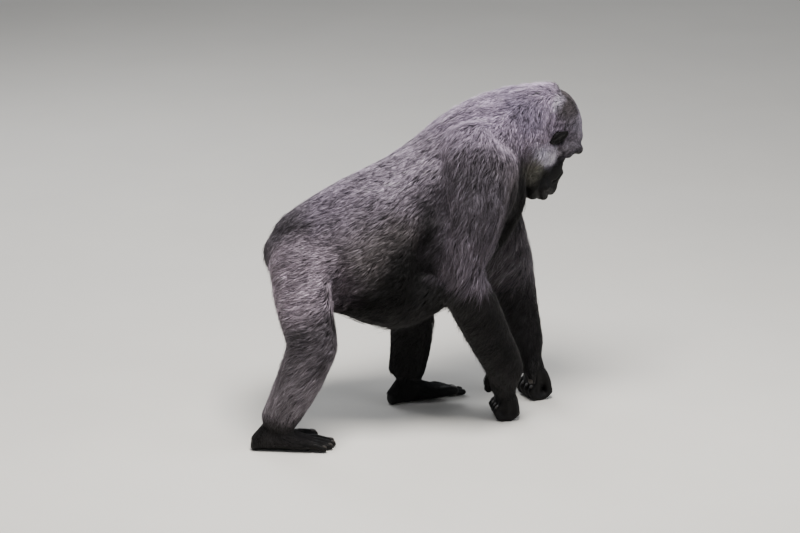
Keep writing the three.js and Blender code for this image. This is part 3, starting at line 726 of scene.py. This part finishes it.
markingsAndPaintedLight = {  # colours of the coat, from the widest to the smallest; besides the coat's own colours several zones are painted shade or painted sunlit sheen, as marked
    "ground": (0.115, 0.1, 0.105),
    # two bands by the height over a line that climbs with the belly: the upper one pale grizzle
    # with painted sunlit sheen on top, the lower one the dark belly darkened further as painted
    # shade underneath
    "back": {"low": 0.54, "high": 0.72, "colour": (0.28, 0.233, 0.3)},
    "belly": {"low": 0.56, "high": 0.44, "colour": (0.0025, 0.0023, 0.0025)},
    "zones": [  # centre, half sizes, colour, softness of the edge
        ((0.3, 0, 0.9), (0.2, 0.2, 0.13), (0.37, 0.3, 0.41), 0.7),  # nape and withers: pale grizzle with painted sunlit sheen
        ((-0.05, -0.1, 0.76), (0.14, 0.13, 0.1), (0.4, 0.34, 0.42), 0.6),  # middle of the back: pale grizzle with painted sunlit sheen
        ((0.31, 0, 0.865), (0.045, 0.25, 0.045), (0.24, 0.2, 0.28), 0.5),  # sides of the nape
        ((-0.36, 0, 0.56), (0.12, 0.2, 0.12), (0.076, 0.066, 0.078), 0.5),  # rump
        ((0.1, -0.21, 0.66), (0.12, 0.12, 0.16), (0.1, 0.087, 0.106), 0.4),  # upper arms
        ((0.1, -0.21, 0.53), (0.13, 0.12, 0.09), (0.12, 0.102, 0.126), 0.25),
        ((0.25, 0.25, 0.62), (0.16, 0.09, 0.2), (0.1, 0.087, 0.106), 0.3),  # left arm
        ((0.36, 0.17, 0.385), (0.1, 0.12, 0.11), (0.12, 0.107, 0.12), 0.5),
        ((0.012, -0.22, 0.61), (0.038, 0.1, 0.11), (0.007, 0.0065, 0.007), 0.5),  # painted shade behind the arm, between it and the flank
        ((-0.04, -0.22, 0.5), (0.07, 0.1, 0.1), (0.002, 0.0018, 0.002), 0.4),
        ((0.16, -0.15, 0.26), (0.35, 0.16, 0.21), (0.01, 0.0093, 0.01), 0.05),  # forearms
        ((0.36, 0.14, 0.19), (0.14, 0.14, 0.14), (0.018, 0.0165, 0.018), 0.3),
        ((-0.34, -0.17, 0.47), (0.13, 0.14, 0.13), (0.34, 0.28, 0.335), 0.5),  # thighs
        ((-0.32, -0.18, 0.335), (0.11, 0.1, 0.075), (0.1, 0.087, 0.1), 0.5),  # knees
        ((-0.262, -0.19, 0.43), (0.026, 0.08, 0.1), (0.006, 0.0055, 0.006), 0.5),  # painted shade in the groin, the crease in front of the thigh
        # painted shade on the far, left thigh and the flank over it
        ((-0.12, 0.2, 0.4), (0.2, 0.12, 0.13), (0.03, 0.026, 0.03), 0.5),
        ((-0.38, -0.15, 0.2), (0.1, 0.12, 0.1), (0.21, 0.184, 0.21), 0.5),  # shanks
        ((-0.37, -0.14, 0.03), (0.16, 0.12, 0.07), (0.018, 0.016, 0.017), 0.5),
        # painted shade on the far, left shank
        ((0.04, 0.18, 0.16), (0.13, 0.12, 0.17), (0.008, 0.0075, 0.008), 0.4),
        ((0.3, -0.02, 0.62), (0.1, 0.17, 0.14), (0.003, 0.0028, 0.003), 0.4),  # painted shade on the throat under the chin
        # painted shade on the front edge of the right arm and in the gap before it
        ((0.248, -0.17, 0.62), (0.03, 0.08, 0.12), (0.022, 0.02, 0.023), 0.5),
        ((0.29, -0.11, 0.7), (0.024, 0.06, 0.06), (0.012, 0.011, 0.0125), 0.6),
    ],
    "headZones": [  # in the head's own axes, metres
        ((-0.07, 0, 0.06), (0.12, 0.1, 0.085), (0.145, 0.128, 0.16), 0.2),  # forehead
        ((-0.15, 0, 0.05), (0.045, 0.1, 0.06), (0.058, 0.05, 0.054), 0.4),  # behind the crown
        ((-0.172, 0, 0.022), (0.012, 0.1, 0.026), (0.62, 0.56, 0.68), 0.6),
        ((-0.04, 0, -0.015), (0.05, 0.1, 0.045), (0.1, 0.088, 0.108), 0.3),  # brow
        ((-0.062, 0, -0.052), (0.034, 0.1, 0.026), (0.2, 0.178, 0.21), 0.5),  # temple
        ((-0.09, 0, -0.125), (0.06, 0.1, 0.05), (0.155, 0.148, 0.125), 0.5),  # beard
        ((-0.12, 0, -0.095), (0.045, 0.1, 0.022), (0.54, 0.5, 0.62), 0.5),  # below the ear
        ((-0.07, 0, -0.086), (0.035, 0.1, 0.019), (0.76, 0.7, 0.86), 0.5),
        ((0.0, 0, -0.11), (0.06, 0.08, 0.1), (0.003, 0.0028, 0.003), 0.25),  # muzzle
    ],
}
coatFinish = {
    "roughness": 0.52,
    "specular": 0.2,
    "sheen": 0.03,
    "sheenRoughness": 0.4,
    "strength": (0.05, 2.1),  # of the darkest and the palest tufts
    "rootToTip": (0.3, 1.2),
    "paleTip": 1.9,
    "palest": (0.82, 0.8, 0.84),
}
skinFinish = {"bare": (0.0032, 0.0029, 0.003), "underCoat": 0.25, "cells": 430, "specular": 0.13}


def layZones(tree, place, colour, zones):
    for centre, sizes, tone, edge in zones:
        off = vectorMath(tree, "SUBTRACT", place, centre)
        far = vectorMath(tree, "LENGTH", vectorMath(tree, "DIVIDE", off, sizes))
        mask = spread(tree, far, 1 + edge, 1 - edge, interpolation_type="SMOOTHSTEP")
        colour = mixColour(tree, mask, colour, (*tone, 1))
    return colour


def markingsAndLightGroup():
    group = bpy.data.node_groups.new("coatMarkingsAndPaintedLight", "ShaderNodeTree")
    group.interface.new_socket("Place", in_out="INPUT", socket_type="NodeSocketVector")
    group.interface.new_socket("Colour", in_out="OUTPUT", socket_type="NodeSocketColor")
    place = group.nodes.new("NodeGroupInput").outputs["Place"]
    end = group.nodes.new("NodeGroupOutput")
    jitter = noise(group, place, 14, 2)["Color"]  # makes the edges of the markings, and of the painted shade and sheen, uneven
    shift = scaled(group, vectorMath(group, "SUBTRACT", jitter, (0.5, 0.5, 0.5)), 0.07)
    place = vectorMath(group, "ADD", place, shift)
    rise = vectorMath(group, "DOT_PRODUCT", place, (-0.45, 0, 0.89))
    colour = (*markingsAndPaintedLight["ground"], 1)
    for band in (markingsAndPaintedLight["back"], markingsAndPaintedLight["belly"]):
        mask = spread(group, rise, band["low"], band["high"], interpolation_type="SMOOTHSTEP")
        colour = mixColour(group, mask, colour, (*band["colour"], 1))
    colour = layZones(group, place, colour, markingsAndPaintedLight["zones"])
    off = vectorMath(group, "SUBTRACT", place, tuple(headOrigin))
    own = [vectorMath(group, "DOT_PRODUCT", off, tuple(axis)) for axis in headAxes.T]
    own = addNode(group, "CombineXYZ", enumerate(own)).outputs[0]
    colour = layZones(group, own, colour, markingsAndPaintedLight["headZones"])
    feed(group, end, {"Colour": colour})
    return group


coatMarkingsAndPaintedLight = markingsAndLightGroup()


def markingsAndLightAt(tree, place):
    return addNode(tree, "Group", {"Place": place}, node_tree=coatMarkingsAndPaintedLight).outputs["Colour"]


def makeCoatMaterial():
    made, tree, shader = newMaterial("grizzledCoat")
    root = addNode(tree, "Attribute", attribute_name="root").outputs["Vector"]
    shade, along = valueOf(tree, "shade"), valueOf(tree, "along")
    strength = spread(tree, shade, 0.12, 0.88, *coatFinish["strength"])
    darkRoot = spread(tree, along, 0, 1, *coatFinish["rootToTip"])
    strength = numberMath(tree, "MULTIPLY", strength, darkRoot)
    colour = scaled(tree, markingsAndLightAt(tree, root), strength)
    pale = numberMath(tree, "MULTIPLY", spread(tree, shade, 0.72, 0.98), along)
    colour = mixColour(tree, pale, colour, scaled(tree, colour, coatFinish["paleTip"]))
    finish = {
        "Base Color": vectorMath(tree, "MINIMUM", colour, coatFinish["palest"]),
        "Roughness": coatFinish["roughness"],
        "Specular IOR Level": coatFinish["specular"],
        "Sheen Weight": coatFinish["sheen"],
        "Sheen Roughness": coatFinish["sheenRoughness"],
    }
    feed(tree, shader, finish)
    return made


def makeSkinMaterial():
    made, tree, shader = newMaterial("blackSkin")
    place = placeOf(tree)
    # the skin under the coat takes the coat's colours cut to a quarter: partly its own dark skin,
    # partly painted shade deep in the coat
    shadedUnderCoat = scaled(tree, markingsAndLightAt(tree, place), skinFinish["underCoat"])
    blotch = spread(tree, noise(tree, place, 60, 4)["Fac"], 0, 1, 0.6, 1.5)
    bare = scaled(tree, skinFinish["bare"], blotch)
    cells = {"Vector": place, "Scale": skinFinish["cells"]}
    cells = addNode(tree, "TexVoronoi", cells, feature="DISTANCE_TO_EDGE").outputs["Distance"]
    folds = noise(tree, place, 150, 3)["Fac"]
    relief = numberMath(tree, "ADD", spread(tree, cells, 0, 0.25), folds)
    bump = {"Height": relief, "Strength": 0.24, "Distance": 0.001}
    finish = {
        "Base Color": mixColour(tree, valueOf(tree, "haired"), bare, shadedUnderCoat),
        "Normal": addNode(tree, "Bump", bump).outputs[0],
        "Roughness": spread(tree, folds, 0, 1, 0.42, 0.66),
        "Specular IOR Level": skinFinish["specular"],
    }
    feed(tree, shader, finish)
    return made


coatMaterial = makeCoatMaterial()
skinMaterial = makeSkinMaterial()

# the coat

coat = {
    "parts": ("Back", "Belly", "Arm", "Leg", "Head"),  # a piece of each on either side
    "slots": {"Arm": "limb_coat", "Leg": "limb_coat", "Head": "head"},
    "cover": 3.6,  # how many tufts lie over each place
    "barest": 0.3,  # thinner growth than this is left to the skin
    "nearEar": (24, 8, 0.45),  # shorter from here to here, by how much; millimetres
    "bareEar": (2.5, 4.5),  # nothing grows nearer an ear than this, all of it beyond that
    "sway": 0.17,  # how far the locks turn off the lie, and how far single tufts do
    "stray": 0.1,
    "lockSize": 0.03,
    "lockShare": 0.09,  # one tuft in about ten leads a lock, and the others lean to it
    "lean": 0.45,
    "length": (0.75, 1.25),  # how unlike each other the tufts are
    "rise": (0.55, 1.0),
    "width": (0.7, 1.25),
    "bow": 0.08,
    "bend": 0.45,  # where along a tuft its thickest place is
    "whiskers": 0.07,  # share of longer, thinner tufts that stand out
    "whisker": (1.25, 1.5, 0.6),  # times the length, the rise and the width of the others
    "hanging": (0.014, 0.022),  # where the coat is deeper than this it hangs free
    "streak": (0.0034, 0.032, 0.004),  # width, half length and step of the light and dark streaks
    "shades": (0.11, 0.17, 0.11, 0.05),  # how unlike single tufts, strands, locks and patches are
    "sink": 0.0012,  # roots start this far under the skin
    "overFloor": 0.0008,
    "patch": 0.003,  # a tuft's size on its map
}


def covers(part, side, group, at):
    # which of the roots belong to one piece of the coat
    if part in ("Arm", "Leg"):
        return group == f"{part}_{side}".lower()
    if part == "Head":
        chosen, across = group == "head", toHead(at)[:, 1]
    else:
        # height over the belly's line, which climbs towards the head
        rise = at[:, 2] * 0.89 - at[:, 0] * 0.45
        chosen, across = (group == "trunk") & ((rise > 0.5) == (part == "Back")), at[:, 1]
    return chosen & ((across < 0) == (side == "Right"))


def wave(at, size, seed):
    # a smooth random hill and valley pattern, about -1 to 1
    dice = np.random.default_rng(seed)
    total = np.zeros(len(at))
    for _ in range(7):
        way = dice.normal(size=3)
        way /= np.linalg.norm(way)
        steps = 2 * math.pi / size * dice.uniform(0.6, 1.5)
        total += np.sin(at @ way * steps + dice.uniform(0, 6.3))
    return total / 2.6


def grain(at, size, seed):
    # one fixed random number for each small cube of space
    cell = np.floor(at / size).astype(np.int64)
    mixed = cell[:, 0] * 73856093 ^ cell[:, 1] * 19349663 ^ cell[:, 2] * 83492791
    mixed = mixed ^ seed * 2654435761
    mixed = (mixed ^ (mixed >> 13)) * 1274126177 & 0x7FFFFFFF
    return (mixed ^ (mixed >> 16)) % 65536 / 65536


def streaks(at, lie, width, half, step, seed):
    # the grain averaged along the lie, so that it draws out into strands; about -1 to 1
    places = np.arange(-half, half + step / 2, step)
    total = sum(grain(at + lie * place, width, seed) - 0.5 for place in places)
    return total / (0.29 * math.sqrt(len(places))) / 1.6


def skinTraits():
    places = placesOf(skin)
    nodes = nearestNode(places)
    traits = combed(places, nodes)
    for column in range(7):
        traits[:, column] = evenOut(skin, traits[:, column], 10)
    fromEar = farFromEar(places)
    outer, inner, shorter = coat["nearEar"]
    traits[:, lengthAt] *= 1 - shorter * smoothStep(outer, inner, fromEar)
    traits[:, growthAt] *= smoothStep(*coat["bareEar"], fromEar)
    return traits, nodes


def rootsOn(traits, nodes):
    mesh = skin.data
    mesh.calc_loop_triangles()
    corners = readAll(mesh.loop_triangles, "vertices", 3, np.int32)
    places, normals = placesOf(skin), normalsOf(skin)
    one, two, three = (places[corners[:, i]] for i in range(3))
    area = np.linalg.norm(np.cross(two - one, three - one), axis=1) / 2
    mean = traits[corners].mean(1)
    tuft = 0.5 * mean[:, lengthAt] * mean[:, widthAt]
    wanted = area * mean[:, growthAt] ** 1.5 * coat["cover"] / tuft
    wanted[mean[:, growthAt] < coat["barest"]] = 0
    upTo = np.cumsum(wanted)
    total = int(upTo[-1])
    spots = (np.arange(total) + random.uniform(0, 1, total)) * (upTo[-1] / total)
    chosen = np.searchsorted(upTo, spots).clip(0, len(corners) - 1)
    share = random.uniform(0, 1, (total, 2))
    flip = share.sum(1) > 1
    share[flip] = 1 - share[flip]
    weights = np.column_stack([1 - share.sum(1), share])
    corners = corners[chosen]
    at, normal, traits = (
        (values[corners] * weights[:, :, None]).sum(1) for values in (places, normals, traits)
    )
    group = np.array([groupOf[name].replace("ear", "head") for name in fleshNodes])
    group = group[nodes[corners[:, 0]]]
    return {"at": at, "normal": unit(normal), "traits": traits, "group": group}


def patchPlace(group, at):
    # where a root lies on its piece's own unwrap, which fills 0 to 1 both ways
    if group == "trunk":
        along = at[:, 0]
        around = np.arctan2(at[:, 2] - (0.45 + 0.45 * at[:, 0] + 0.08), at[:, 1])
    elif group == "head":
        spot = toHead(at) - (-90, 0, -40)
        along = np.arctan2(spot[:, 2], spot[:, 0])
        around = np.arctan2(spot[:, 1], np.hypot(spot[:, 0], spot[:, 2]))
    else:
        line = np.array([row[0] for row in combing[group][:7]])  # down the limb
        nearest = np.argmin(np.linalg.norm(at[:, None] - line[None], axis=2), axis=1)
        off = at - line[nearest]
        along = -at[:, 2]
        around = np.arctan2(off[:, 1], off[:, 0])
    flat = np.column_stack([along, around])
    low, high = flat.min(0), flat.max(0)
    return 0.004 + 0.992 * (flat - low) / (high - low)


def onSkin(points, reach):
    # the nearest place of the skin and its normal, unless it is too far off
    found, normals = points.copy(), np.zeros_like(points)
    for index, point in enumerate(points.tolist()):
        place, normal, _, far = skinTree.find_nearest(point)
        found[index] = place
        normals[index] = normal
        if far > reach[index]:
            found[index] = point
    return found, normals


def leadersOf(at):
    # for each root, the nearest of the few that lead a lock
    heads = np.nonzero(random.uniform(0, 1, len(at)) < coat["lockShare"])[0]
    finder = KDTree(len(heads))
    for index, place in enumerate(at[heads].tolist()):
        finder.insert(place, index)
    finder.balance()
    return heads[[finder.find(place)[1] for place in at.tolist()]]


def shapeTufts(at, normal, traits, lie, whisker):
    # five places for each tuft: the root, three round its middle, the tip
    count = len(at)
    length, depth, width = (traits[:, column] for column in (lengthAt, depthAt, widthAt))
    across = np.cross(normal, lie)
    longer, higher, wider = (np.where(whisker, times, 1) for times in coat["whisker"])
    length = length * random.uniform(*coat["length"], count) * longer
    rise = depth * random.uniform(*coat["rise"], count) * higher + 0.0008
    width = width * random.uniform(*coat["width"], count) * wider
    bow = random.normal(size=count) * coat["bow"] * length
    middle, middleOut = onSkin(at + lie * (length * coat["bend"])[:, None], length)
    end, endOut = onSkin(at + lie * length[:, None], length)
    free = at + lie * length[:, None] + normal * (rise * 0.4)[:, None]
    loose = smoothStep(*coat["hanging"], depth)[:, None] * 0.8 + 0.12
    loose = np.where(whisker[:, None], np.maximum(loose, 0.6), loose)
    middle = middle + middleOut * (rise * 0.72)[:, None] + across * bow[:, None]
    tip = (end + endOut * rise[:, None]) * (1 - loose) + free * loose
    middleOut = unit(middleOut + normal)
    leader = leadersOf(at)
    lean = coat["lean"] * smoothStep(0.002, 0.014, depth) * random.uniform(0.5, 1, count)
    lean = np.where(whisker, 0.15 * lean, lean)[:, None]
    aside = tip[leader] - tip
    aside -= lie * (aside * lie).sum(1, keepdims=True) * 0.6
    tip = tip + aside * lean
    middle = middle + aside * lean * 0.4
    start = at - normal * coat["sink"]
    side = unit(np.cross(middleOut, unit(tip - start))) * (width / 2)[:, None]
    ridge = middle + middleOut * (width * 0.45)[:, None]
    spots = np.stack([start, middle - side, middle + side, ridge, tip], 1)
    spots[:, :, 2] = np.maximum(spots[:, :, 2], coat["overFloor"])
    return spots


def buildTufts(title, spots, patches):
    count = len(spots)
    # six faces on the five places; the upper ones come last
    corners = np.array([[2, 1, 0], [1, 2, 4], [3, 2, 0], [1, 3, 0], [2, 3, 4], [3, 1, 4]]).ravel()
    loops = (np.arange(count)[:, None] * 5 + corners).ravel()
    mesh = bpy.data.meshes.new(title)
    mesh.vertices.add(count * 5)
    mesh.vertices.foreach_set("co", spots.astype(np.float32).ravel())
    mesh.loops.add(len(loops))
    mesh.loops.foreach_set("vertex_index", loops.astype(np.int32))
    mesh.polygons.add(count * 6)
    mesh.polygons.foreach_set("loop_start", np.arange(0, len(loops), 3, dtype=np.int32))
    mesh.update(calc_edges=True)
    mesh.polygons.foreach_set("use_smooth", np.ones(count * 6, bool))
    marks = np.array([[0, -1], [-1, 0], [1, 0], [0, 0.2], [0, 1]]) * coat["patch"] / 2
    flat = (patches[:, None] + marks).clip(0, 1)
    layer = mesh.uv_layers.new(name="OFBake")
    layer.uv.foreach_set("vector", flat[:, corners].astype(np.float32).ravel())
    piece = linked(title, mesh)
    piece.data.materials.append(coatMaterial)
    return piece


def shadesOf(at, lie, whisker):
    # dark and pale tufts, drawn out into strands, locks and wide patches
    tuft, strand, lock, patch = coat["shades"]
    shade = 0.48 + tuft * random.normal(size=len(at))
    shade += strand * streaks(at, lie, *coat["streak"], 31)
    shade += lock * streaks(at, lie, *(3 * np.array(coat["streak"])), 37)
    shade += patch * wave(at, coat["lockSize"] * 3, 29)
    return np.clip(shade + 0.2 * whisker, 0, 1)


def growTufts(title, at, normal, traits, group):
    count = len(at)
    facing = np.abs((traits[:, :3] * normal).sum(1))  # hairs that would point straight out hang
    traits[:, 2] -= smoothStep(0.6, 0.98, facing) * 0.9
    turn = coat["sway"] * wave(at, coat["lockSize"] * 2, 11)
    turn += coat["stray"] * random.normal(size=count)
    lie = unit(traits[:, :3] - (traits[:, :3] * normal).sum(1, keepdims=True) * normal)
    lie = lie * np.cos(turn)[:, None] + np.cross(normal, lie) * np.sin(turn)[:, None]
    whisker = random.uniform(0, 1, count) < coat["whiskers"]
    whisker &= traits[:, depthAt] > 0.004
    spots = shapeTufts(at, normal, traits, lie, whisker)
    piece = buildTufts(title, spots, patchPlace(group[0], at))
    giveValues(piece.data, "shade", np.repeat(shadesOf(at, lie, whisker), 5))
    giveValues(piece.data, "along", np.tile([0, *[coat["bend"]] * 3, 1], count))
    giveValues(piece.data, "root", np.repeat(at, 5, axis=0))
    print(title, count, "tufts", count * 6, "triangles")
    return piece


traits, nodes = skinTraits()
giveValues(skin.data, "haired", smoothStep(0.3, 0.95, traits[:, growthAt]))
skin.data.materials.append(skinMaterial)
skinTree = treeOf(skin)
roots = rootsOn(traits, nodes)
print("roots", len(roots["at"]))
coatMade = {}
for part in coat["parts"]:
    for side in ("Right", "Left"):
        chosen = covers(part, side, roots["group"], roots["at"])
        mine = {name: values[chosen] for name, values in roots.items()}
        piece = growTufts("coat" + part + side, **mine)
        coatMade[piece] = coat["slots"].get(part, "coat")

# the eyes

eyes = {
    "radius": 0.0115,
    "gaze": (0.95, 0.16, -0.2),
    "iris": 0.56,  # half angles off the gaze
    "pupil": 0.25,
    "finish": {"Roughness": 0.1, "Specular IOR Level": 0.12},
}


def makeEyeMaterial():
    made, tree, shader = newMaterial("brownEye")
    threads = noise(tree, placeOf(tree), 900, 2)["Fac"]
    off = numberMath(tree, "MULTIPLY_ADD", threads, 0.05, valueOf(tree, "offGaze"))
    stops = [
        (0, (0.002, 0.002, 0.002)),
        (eyes["pupil"], (0.002, 0.002, 0.002)),
        (eyes["pupil"] + 0.03, (0.016, 0.007, 0.0025)),
        (eyes["iris"] - 0.06, (0.009, 0.004, 0.0016)),
        (eyes["iris"], (0.005, 0.003, 0.002)),
        (eyes["iris"] + 0.1, (0.008, 0.005, 0.004)),
        (1, (0.006, 0.004, 0.003)),
    ]
    feed(tree, shader, {"Base Color": ramp(tree, off, stops), **eyes["finish"]})
    return made


eyeMaterial = makeEyeMaterial()


def modelEye(title, side):
    centre = np.array(face["eye"], float) * (1, side, 1)
    way = np.array(eyes["gaze"]) * (1, side, 1)
    way = headAxes @ (way / np.linalg.norm(way))
    bpy.ops.mesh.primitive_uv_sphere_add(segments=48, ring_count=32, radius=eyes["radius"])
    piece = bpy.context.object
    shape = placesOf(piece)
    share = shape[:, 2] / eyes["radius"]
    shape += unit(shape) * (smoothStep(0.8, 1, share) * 0.0011)[:, None]  # the cornea stands out
    turn = np.array(Vector(way).to_track_quat("Z", "Y").to_matrix())
    moveTo(piece, shape @ turn.T + fromHead(centre[None])[0])
    giveValues(piece.data, "offGaze", np.arccos(share.clip(-1, 1)))
    bpy.ops.object.shade_smooth()
    piece.name = piece.data.name = title
    piece.data.materials.append(eyeMaterial)
    return piece


eyePieces = [modelEye("eyeBallRight", -1), modelEye("eyeBallLeft", 1)]

# the nails

nails = {
    "width": 0.0125,
    "length": 0.0115,
    "height": 0.0042,
    "sink": 0.0012,
    # the middle of each hand and foot, its turn, its side, and how high its big toe lies
    "hands": {"Right": ((0.25473, -0.05374), -8, -1), "Left": ((0.38973, 0.09226), 10, 1)},
    "feet": {
        "Right": ((-0.48727, -0.10774), -16, -1, 2),
        "Left": ((-0.02327, 0.13626), 14, 1, 18),
    },
    "fingers": (-29, 23.128, 40),  # back of the knuckles, apart, above the floor; millimetres
    "thumb": (-39, 52, 66),
    "toes": (220, 224, 216, 200),  # how far each reaches
    "toesApart": 23.4,
    "bigToe": (168, 69, 16),
    "bigger": {"Thumb": 1.05, "BigToe": 1.4},
}


def makeNailMaterial():
    made, tree, shader = newMaterial("hornNail")
    stretched = vectorMath(tree, "MULTIPLY", placeOf(tree), (900, 900, 200))
    streak = noise(tree, stretched, 1, 3)["Fac"]
    bump = {"Height": streak, "Strength": 0.25, "Distance": 0.0004}
    finish = {
        "Base Color": ramp(tree, streak, [(0, (0.012, 0.01, 0.009)), (1, (0.05, 0.042, 0.036))]),
        "Normal": addNode(tree, "Bump", bump).outputs[0],
        "Roughness": 0.32,
    }
    feed(tree, shader, finish)
    return made


def modelNail():
    # one nail, its root at -x, its tip at +x, the plate facing +z
    bpy.ops.mesh.primitive_cube_add(size=2)
    piece = bpy.context.object
    bpy.ops.object.mode_set(mode="EDIT")
    bpy.ops.mesh.subdivide(number_cuts=3)
    bpy.ops.object.mode_set(mode="OBJECT")
    shape = placesOf(piece)
    x, y, z = shape.T
    half = np.where(x > 0, 1 - 0.16 * x**2, 1 - 0.1 * x**2)  # a rounded tip, a squarer root
    arch = 1 - 0.55 * y**2  # across the nail
    shape = np.column_stack(
        [
            x * nails["length"] / 2 * (1 - 0.14 * y**2),
            y * half * nails["width"] / 2,
            arch * nails["height"] / 2 + (z - 1) * 0.0007 - 0.0012 * np.maximum(x, 0) ** 2,
        ]
    )
    moveTo(piece, shape)
    finishWith(piece, "BEVEL", width=0.0002, segments=1)
    finishWith(piece, "SUBSURF", levels=1, render_levels=1)
    turnOutwards(piece)
    bpy.ops.object.shade_smooth()
    piece.data.materials.append(makeNailMaterial())
    return piece


def modelNails():
    pattern = modelNail()
    made = []

    def setNail(spot, out, along, title):
        # seats a copy of the nail on the skin, found along its outward way
        spot = foot + swing @ (Vector(spot) / 1000)
        out, along = (swing @ Vector(out)).normalized(), (swing @ Vector(along)).normalized()
        place = skinTree.ray_cast(spot + out * 0.03, -out)[0] or spot
        along = (along - out * along.dot(out)).normalized()
        turn = np.array(Matrix((along, out.cross(along), out)).transposed())
        scale = nails["bigger"].get(title, 1)
        piece = linked(f"nail{title}{label}", pattern.data.copy())
        rise = (nails["height"] / 2 * -0.62 + nails["sink"] * 0.4) * scale
        moveTo(piece, placesOf(piece) * scale @ turn.T + np.array(place + out * rise))
        made.append(piece)
        return piece

    for label, (spot, turn, side) in nails["hands"].items():
        swing, foot = turnBy(turn, "Z"), Vector((*spot, 0))
        back, apart, up = nails["fingers"]
        for finger in range(4):
            at = (back, (finger - 1.5) * apart, up)
            piece = setNail(at, (-0.78, 0, 0.62), (0.62, 0, 0.78), "Finger")
            piece.name += str(finger + 1)
        back, apart, up = nails["thumb"]
        setNail((back, -side * apart, up), (-0.8, -side * 0.6, 0), (0, 0, -1), "Thumb")
    for label, (spot, turn, side, lift) in nails["feet"].items():
        swing, foot = turnBy(turn, "Z"), Vector((*spot, 0))
        for toe, reach in enumerate(nails["toes"]):
            at = (reach, side * (toe - 1.5) * nails["toesApart"], 14)
            piece = setNail(at, (0.25, 0, 0.97), (0.97, 0, -0.25), "Toe")
            piece.name += str(toe + 1)
        reach, apart, up = nails["bigToe"]
        at = (reach, -side * apart, up + lift)
        setNail(at, (0.15, 0, 0.98), (0.96, -side * 0.28, -0.1), "BigToe")
    bpy.data.objects.remove(pattern)
    print("nails", len(made))
    return made


nailPieces = modelNails()

# who stands for what

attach(skin, "root")
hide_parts(*fleshNodes)
for piece, slot in coatMade.items():
    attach(piece, "root")
for piece, node in zip(eyePieces, ("eye_right", "eye_left")):
    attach(piece, "root")
    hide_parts(node)
for piece in nailPieces:
    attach(piece, "root")

# floor, light and camera

studio = {
    "floor": (0.66, 0.64, 0.6),
    "world": ((0.9, 0.94, 1.0), 0.32),
    "lamps": [  # place, width, power, colour
        ((-0.4, -1.1, 3.3), 1.3, 225, (1.0, 0.97, 0.93)),
        ((2.6, -1.9, 1.9), 2.0, 45, (0.95, 0.97, 1.0)),
        ((-0.6, 3.2, 2.6), 2.0, 60, (0.95, 0.97, 1.0)),
    ],
    "aim": (0.0066, 0.126, 0.401),
    "lens": 200,
    "distance": 12.2,
    "azimuth": -17,
    "elevation": 17,
}


def aim(piece, place, way):
    piece.location = place
    piece.rotation_mode = "QUATERNION"
    piece.rotation_quaternion = way.to_track_quat("-Z", "Y")


def makeFloor():
    bpy.ops.mesh.primitive_plane_add(size=160, location=(0, 0, -0.0005))
    floor = bpy.context.object
    floor.name = "floor"
    made, tree, shader = newMaterial("paleFloor")
    tone = spread(tree, noise(tree, placeOf(tree), 3, 5)["Fac"], 0, 1, 0.96, 1.04)
    feed(tree, shader, {"Base Color": scaled(tree, studio["floor"], tone), "Roughness": 0.85})
    floor.data.materials.append(made)


def makeLight():
    world = bpy.data.worlds.new("studio")
    world.use_nodes = True
    sky = world.node_tree.nodes["Background"]
    sky.inputs["Color"].default_value = (*studio["world"][0], 1)
    sky.inputs["Strength"].default_value = studio["world"][1]
    bpy.context.scene.world = world
    for place, width, power, colour in studio["lamps"]:
        lamp = bpy.data.lights.new("softbox", "AREA")
        lamp.size, lamp.energy, lamp.color = width, power, colour
        aim(linked("softbox", lamp), place, Vector((0, 0, 0.45)) - Vector(place))


def makeCamera():
    lens = bpy.data.cameras.new("camera")
    lens.lens, lens.sensor_width = studio["lens"], 36
    lens.clip_end = 200
    piece = linked("camera", lens)
    back = turnBy(studio["azimuth"], "Z") @ turnBy(-studio["elevation"], "X") @ Vector((0, -1, 0))
    aim(piece, Vector(studio["aim"]) + back * studio["distance"], -back)
    bpy.context.scene.camera = piece


makeFloor()
makeLight()
makeCamera()
print("floor, light and camera")
